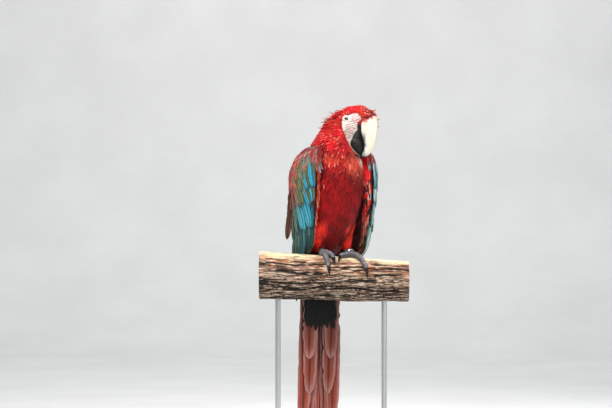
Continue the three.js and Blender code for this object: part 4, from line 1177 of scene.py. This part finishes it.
def eyes(material, lid_material):
    for side, name in SIDES:
        centre = np.array([side * EYE["side"], -EYE["forward"], EYE["up"]])
        gaze = unit(np.array([side * 1.0, -0.22, 0.02]))
        first = unit(np.cross(gaze, Z_WAY))
        second = np.cross(gaze, first)
        polar, a = np.linspace(0.001, math.pi - 0.001, 48), circle(64)
        bulge = EYE["radius"] * (1 + 0.05 * np.exp(-((polar / 0.42) ** 2)))
        wide = bulge * np.sin(polar)
        along = centre + gaze * (bulge * np.cos(polar))[:, None]
        points, faces = loft(ring(along, first, second, wide, wide, 64))
        ray = 0.5 + 0.5 * np.sin(a * 23 + 1.3 * np.sin(a * 7))
        iris = paint(srgb(186, 174, 132), (srgb(140, 124, 84), ray * 0.6))
        p = np.repeat(polar[:, None], 64, axis=1)
        tint = paint(
            srgb(8, 7, 8), (iris, smooth(0.52, 0.55, p)), (srgb(120, 106, 70), smooth(0.60, 0.66, p)),
            (srgb(24, 19, 18), smooth(0.66, 0.70, p)),
        )
        eye = make_mesh(f"eye_{name}_glass", apply(BIRD @ HEAD, points), faces, material, with_ends(tint))
        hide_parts(f"eye_{name}")
        a = circle(72)
        wide, deep = LID[:, :2].T * EYE["radius"]
        crease = 1 + 0.022 * np.sin(a * 24) * LID[:, 2:]
        lid = (
            centre + gaze * (deep[:, None] * crease)[..., None]
            + first * (wide[:, None] * np.cos(a) * (1.2 + 0.03 * np.sin(3 * a)))[..., None]
            + second * (wide[:, None] * np.sin(a) * (0.88 + 0.03 * np.sin(2 * a + 1)))[..., None]
        )
        shade = np.repeat(smooth(0.2, 2.4, np.arange(len(LID)))[:, None], 72, axis=1)
        tint = paint(srgb(60, 48, 46), (srgb(222, 208, 198), shade))
        quads = grid_faces(len(LID), 72, True)
        skin = make_mesh(f"lid_{name}", apply(BIRD @ HEAD, lid.reshape(-1, 3)), [quads], lid_material, tint)


def face_lines():
    """Lines on the face, as forward and up at their stops, and whether they are the pink ones."""
    for start in np.arange(23, -22, -4.6):
        ahead = np.interp(start, [-36, -18, 0, 12, 26], [27, 32, 36, 40, 34])
        yield [(ahead - 10 * k, start - (10, 9, 7.5)[min(k, 2)] * k) for k in range(4)], False
    for at in np.arange(15.5, 36, 3.4):
        yield [(at, 31), (at + 0.5, 24), (at + 0.5, 17), (at - 1, 10)], True


def face_rows(surface, material):
    """Lines of tiny dark red or pink feathers across the bare face."""
    places, spacing, blur, scatter = [], 1.9, 51, 0.4
    for side, _ in SIDES:
        for stops, pink in face_lines():
            stops = np.array(stops, float)
            path = []
            for k in range(2):
                rough = np.interp(np.linspace(0, 3, 200), range(4), stops[:, k])
                path.append(np.convolve(np.pad(rough, blur // 2, mode="edge"), np.ones(blur) / blur, "valid"))
            gone = np.concatenate([[0], np.cumsum(np.hypot(*np.diff(path, axis=1)))])
            at = np.arange(0, gone[-1], spacing)
            f, z = (np.interp(at, gone, one) for one in path)
            f, z = (one + rng.normal(0, scatter, len(one)) for one in (f, z))
            places += [(side, a, b, pink) for a, b in zip(f, z)]
    side, forward, up, pink = np.array(places, float).T
    roots, good = surface.from_beside(side, forward, up)
    ways = np.stack([side * 0.1, 1 + 0 * side, -0.55 + 0 * side], -1)[good] @ HEAD_TURN
    _, forward, up, _ = in_head(roots)
    off_eye = np.hypot(forward - EYE["forward"], up - EYE["up"]) > 10.5
    keep = (face_mask(roots) > 0.15) & (jaw_mask(roots) < 0.3) & off_eye
    roots, ways, pink = roots[keep], ways[keep], pink[good][keep]
    n = len(roots)
    grid = surface.walk(roots, ways, rng.uniform(2.4, 3.8, n), 3)
    tip = np.where(pink[:, None] > 0, srgb(214, 128, 132), srgb(120, 10, 22)) * rng.uniform(0.4, 1.2, (n, 1))
    vanes("face_feathers", material, grid, rng.uniform(0.45, 0.85, n), rng.uniform(0.3, 0.8, n), tip * 0.7, tip,
          unwrap(roots), columns=3, fray=0.2, under=0.15)


def lore(surface, material):
    """The thick dark red band of short feathers between the bare face and the bill."""
    count, stops = 420, [0, 0.25, 0.55, 0.8, 1]
    places = []
    for side, _ in SIDES:
        t = rng.random(count)
        aside = rng.uniform(-3.6, 3.4, count) * (1 - 0.4 * t)
        forward = np.interp(t, stops, [29, 34, 37.5, 38.8, 38.4]) + aside
        places.append([np.full(count, side), forward, np.interp(t, stops, [32, 29.5, 22.5, 15, 7.5])])
    roots, _ = surface.from_beside(*np.concatenate(places, axis=1))
    n = len(roots)
    way = np.tile([0, 0.25, 1.0], (n, 1)) @ HEAD_TURN
    grid = surface.walk(roots, way, rng.uniform(4.5, 7.5, n), 5)
    tip = srgb(160, 14, 28) * rng.uniform(0.45, 1.3, (n, 1))
    vanes("lore_feathers", material, grid, rng.uniform(0.8, 1.3, n), rng.uniform(0.6, 1.6, n), tip * 0.5, tip,
          unwrap(roots), fray=0.5)


# ---- feet and perch ------------------------------------------------------------------------
SKIN_TONE, CLAW_TONE = srgb(116, 114, 118), srgb(20, 18, 18)
TOE_RADII = [7.8, 6.6, 7.4, 6.0, 6.6, 5.6, 4.6]
BAND = [(7.6, -2.9), (8.2, -3.1), (8.9, -2.8), (9.1, 0), (8.9, 2.8), (8.2, 3.1), (7.6, 2.9), (7.55, 0), (7.6, -2.9)]


def perch_mean(x):
    return mix(PERCH["radius_left"], PERCH["radius_right"], (x - PERCH["left"]) / (PERCH["right"] - PERCH["left"]))


def perch_crown(angle):
    """0 along the perch's top line, and 1 from its sides down."""
    return 0.5 - 0.5 * np.cos(np.minimum(np.abs(angle) * 2, math.pi))


def perch_point(x, angle, over=0.0):
    """A point over the perch's surface, angle round from its top towards the camera."""
    x, angle = np.broadcast_arrays(np.asarray(x, float), np.asarray(angle, float))
    drift = 0.35 * np.sin(x / 55)
    ridges = 1.5 * np.sin(5 * angle + 1.9 + drift) + 1.1 * np.sin(8 * angle - 0.6 + 2 * drift)
    ridges = ridges + 1.2 * np.sin(x / 31 + 2 * angle)
    radius = perch_mean(x) + ridges * perch_crown(angle) + over
    axis = PERCH["top"] - perch_mean(BIRD_X) + PERCH["fall"] * (x - BIRD_X)
    return np.stack([x, -radius * np.sin(angle), axis + radius * np.cos(angle)], -1)


def shank(foot):
    """The ends of a foot's shank: at the heel, and in the foot on the perch."""
    heel = np.array(foot["heel"], float) + [0, 0, PERCH["top"]]
    return heel, perch_point(foot["x"], math.radians(1), 7)


def tube(line, radii, around):
    along = unit(np.gradient(line, axis=0))
    side = unit(np.cross(along, unit(np.array([0.13, 0.21, 0.97]))))
    return ring(line, side, np.cross(side, along), radii, radii, around)


def feet(material, horn):
    """The feet with their toes in one piece each, and a claw on each toe."""
    a = circle(32)
    for name, foot in FEET.items():
        t, s = np.linspace(0, 1, 30), np.linspace(0, 1, 60)
        radii = np.interp(t, [0, 0.5, 1], [6.0, 5.5, 7.2]) + 0.28 * np.abs(np.sin(t * 34))
        polar = np.linspace(0.05, math.pi - 0.05, 18)
        pad = perch_point(foot["x"], 0.0, 4.6) + Z_WAY * 8.0 * np.cos(polar)[:, None]
        wide = 9.6 * np.sin(polar)
        bodies = [
            tube(mix(*shank(foot), np.linspace(-0.12, 1, 30)[:, None]), radii, 32),
            ring(pad, X_WAY, Y_WAY, wide, wide, 32),
        ]
        shades = [1.0, 1.0]
        for title, (x, angle) in foot["toes"].items():
            overs = [mix(7.8, 5.6, i / 2) * 0.92 for i in range(3)]
            line = spline([perch_point(*at) for at in zip(x, np.radians(angle), overs)], 60)
            rings = tube(line, np.interp(s, np.linspace(0, 1, 7), TOE_RADII), 32)
            plates = np.abs(np.sin(s * 26))[:, None] ** 0.5 * np.maximum(np.sin(a), 0) ** 0.5
            bodies.append(rings + unit(rings - line[:, None]) * ((plates - 0.6) * 1.1)[..., None])
            # Lighter plate crowns and darker grooves between them: partly the scales' own tone, partly painted
            # highlight and shade.
            shades.append(0.4 + 1.1 * plates + 0.5 * np.maximum(-np.sin(a), 0))
            onward = 19 / perch_mean(x[2]) * np.sign(angle[2] - angle[1])
            line = spline([
                perch_point(
                    x[2] + (x[2] - x[1]) * 0.35 * k, math.radians(angle[2]) + k * onward,
                    5.6 * 0.9 + 2.2 * math.sin(math.pi * k) - 3.2 * k,
                ) for k in (0, 0.5, 1)
            ], 30)
            points, faces = loft(tube(line, 3.5 * (1 - t**1.5) + 0.28, 24))
            tint = np.tile(CLAW_TONE, (len(points), 1))
            claw = make_mesh(f"claw_horn_{name}_{title}", points, faces, horn, tint)
            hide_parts(f"claw_{name}_{title}")
        points, faces = loft(*bodies)
        tones = [np.append(shade + np.zeros(rings.shape[:2]), [1, 1]) for rings, shade in zip(bodies, shades)]
        tone = SKIN_TONE * (np.concatenate(tones) * (1 + 0.25 * wave_noise(points, 16, 9)))[:, None]
        made = make_mesh(f"foot_skin_{name}", points, faces, material, tone)
        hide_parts(f"foot_{name}")


def leg_ring(material):
    heel, sole = shank(FEET["left"])
    way = unit(sole - heel)
    side = unit(np.cross(way, Z_WAY))
    radii, heights = np.array(BAND).T
    rings = ring(mix(heel, sole, 0.6) + way * heights[:, None], side, np.cross(way, side), radii, radii, 72)
    band = make_mesh("leg_ring", rings.reshape(-1, 3), [grid_faces(len(rings), 72, True)], material)
    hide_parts("leg_band")


# The perch's streaks: their colour, the size and seed of their noise, where it sets in, and how much.
STREAKS = (
    (srgb(222, 196, 168), 5.5, 43, 0.15, 0.5, 0.8), (srgb(66, 40, 28), 4.5, 44, 0.2, 0.5, 0.8),
    (srgb(176, 112, 70), 7.0, 46, 0.2, 0.6, 0.6),
)


def perch(material):
    """The cut branch, with cracks along its grain, a pale top and painted shade on its underside."""
    rows, around = ((330, 260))
    x, angle = np.linspace(PERCH["left"], PERCH["right"], rows)[:, None], circle(around)[None]
    angle = np.where(angle > math.pi, angle - 2 * math.pi, angle)
    flat = np.stack(np.broadcast_arrays(x / 9.0, 50 * np.cos(angle), 50 * np.sin(angle)), -1)
    arc = angle * 50 + (7 * np.sin(x / 60) + 4 * np.sin(x / 23 + 1)) * 0.5
    grooves = np.zeros_like(arc)
    local = np.random.default_rng(5)
    for k in range(120):
        at, start, long = local.uniform(-155, 155), local.uniform(-200, 160), local.uniform(40, 210)
        wide, deep = local.uniform(0.5, 2.4) * (1.5 if k % 9 == 0 else 1), local.uniform(0.6, 4.2)
        deep *= 0.22 if abs(at) < 34 else 1
        bend = 2.5 * np.sin(x / local.uniform(18, 45) + local.uniform(0, 6))
        taper = smooth(start, start + 18, x) * smooth(start + long, start + long - 18, x)
        grooves = np.maximum(grooves, deep * taper * np.exp(-(((arc - at + bend) / wide) ** 2)))
    fibre = 0.35 * wave_noise(flat, 9.0, 41, 4) + 0.3 * wave_noise(flat, 3.5, 45, 3)
    points = perch_point(x, angle, -0.2 + fibre * (0.35 + 0.65 * perch_crown(angle)) - grooves)
    broad = wave_noise(points, 60.0, 42, 3)
    off_top = np.abs(angle) + 0 * broad
    pale = smooth(0.25, 0.45, wave_noise(flat, 3.6, 47, 3)) * smooth(1.0, 1.5, off_top)
    tone = paint(
        srgb(96, 60, 42), (srgb(172, 130, 112), smooth(-0.4, 0.5, broad)),
        *((colour, smooth(low, high, wave_noise(flat, size, seed, 3)) * share)
          for colour, size, seed, low, high, share in STREAKS),
        # Darker from the sides down to the underside: painted shade.
        (srgb(34, 25, 20), smooth(0.9, 1.7, off_top + 0.3 * broad) * 0.88),
        (srgb(200, 176, 156), pale * 0.6),
        (srgb(232, 214, 174), smooth(0.75, 0.25, np.abs(angle + 0.12 * broad))),
        (srgb(30, 22, 18), smooth(0.25, 1.3, grooves)),
    )
    body, faces = loft(points)
    made = make_mesh("branch", body, faces, material, with_ends(tone, srgb(190, 160, 120)))
    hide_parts("perch")


# ---- floor, lights and camera --------------------------------------------------------------
LIGHTS = (
    ("key", (-0.8, -1.8, 2.6), (0.0, 0.0, 0.72), 112, 0.9, (1.0, 0.98, 0.95)),
    ("fill", (2.2, -2.0, 1.3), (0.0, 0.0, 0.72), 38, 1.6, (0.97, 0.99, 1.0)),
    ("rim", (0.9, 1.5, 2.1), (0.0, 0.0, 0.72), 52, 1.0, (1, 1, 1)),
    ("backdrop", (0.0, 3.2, 4.2), (0.0, 6.4, 1.2), 88, 3.0, (1, 1, 1)),
)


def placed(name, data):
    obj = bpy.data.objects.new(name, data)
    bpy.context.scene.collection.objects.link(obj)
    return obj


def studio():
    """A pale floor that curves up far behind the bird. Lengths are in metres here."""
    width, turn_at, radius, top = 12.0, 4.7, 1.4, 5.5
    bends = np.linspace(0, math.pi / 2, 24)[1:]
    profile = [(-12.0, 0.0), (turn_at, 0.0)]
    profile += [(turn_at + radius * math.sin(a), radius * (1 - math.cos(a))) for a in bends]
    profile.append((turn_at + radius, top))
    points = [(x, y, z) for y, z in profile for x in (-width, width)]
    faces = [(2 * i, 2 * i + 1, 2 * i + 3, 2 * i + 2) for i in range(len(profile) - 1)]
    mesh = bpy.data.meshes.new("studio_floor")
    mesh.from_pydata(points, [], faces)
    mesh.polygons.foreach_set("use_smooth", np.ones(len(faces), bool))
    floor = placed("studio_floor", mesh)
    mesh.materials.append(floor_material())


def lights_and_camera():
    scene = bpy.context.scene
    for name, place, target, power, size, colour in LIGHTS:
        lamp = bpy.data.lights.new(name, "AREA")
        lamp.energy, lamp.size, lamp.color = power, size, colour
        obj = placed(name, lamp)
        obj.location = place
        obj.rotation_euler = (Vector(target) - Vector(place)).to_track_quat("-Z", "Y").to_euler()
    scene.world = bpy.data.worlds.new("studio_air")
    scene.world.use_nodes = True
    air = scene.world.node_tree.nodes["Background"]
    air.inputs[0].default_value = (0.86, 0.9, 0.95, 1)
    air.inputs[1].default_value = 0.38
    lens = bpy.data.cameras.new("camera")
    lens.sensor_width, lens.lens, lens.clip_end = 36, 128, 50
    scene.camera = placed("camera", lens)
    scene.camera.location = (-0.0575, -5.0, 0.683)
    scene.camera.rotation_euler = (math.pi / 2, 0, 0)
    scene.view_settings.view_transform = "Standard"


# ---- all of it -----------------------------------------------------------------------------
soft_feather = feather_material("soft_feathers", (16.0, 34.0), 0.5, 0.58, 0.08)
fine_feather = feather_material("fine_feathers", (10.0, 14.0), 0.45, 0.55, 0.05)
flight_feather = feather_material("flight_feathers", (90.0, 150.0), 0.35, 0.5, 0.05)
bare_skin = skin_material()
horn = horn_material("pale_horn", 0.38)
dark_horn = horn_material("dark_horn", 0.2)

skin, skin_points, skin_quads = make_skin(bare_skin)
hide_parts("head", "neck", "torso", "leg_right", "leg_left")
surface = Surface(skin_points, skin_quads)
coat(surface, soft_feather)
tufts(surface, soft_feather)
vent(surface, soft_feather)
face_rows(surface, fine_feather)
horn_points, horn_quads = bill(horn, dark_horn)
skin_and_horn = np.concatenate([skin_points, horn_points])
lore(Surface(skin_and_horn, np.concatenate([skin_quads, horn_quads + len(skin_points)])), soft_feather)
nostrils(dark_horn)
eyes(eye_material(), bare_skin)
for side, title in SIDES[::-1]:
    core = wing_core(side, title, soft_feather)
    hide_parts(f"wing_{title}")
    wing(side, title, flight_feather)
tail(flight_feather)
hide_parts("tail")
feet(foot_material(), dark_horn)
leg_ring(metal_material("band_metal", (0.8, 0.81, 0.83), 0.3, 60.0))
perch(perch_material())
for node, material in (
    ("stand_base", board_material()),
    ("stand_rod_left", metal_material("steel_left", (0.62, 0.63, 0.65), 0.34, 40.0)),
    ("stand_rod_right", metal_material("steel_right", (0.62, 0.63, 0.65), 0.34, 40.0)),
):
    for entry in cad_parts[node].material_slots:
        entry.material = material

studio()
lights_and_camera()
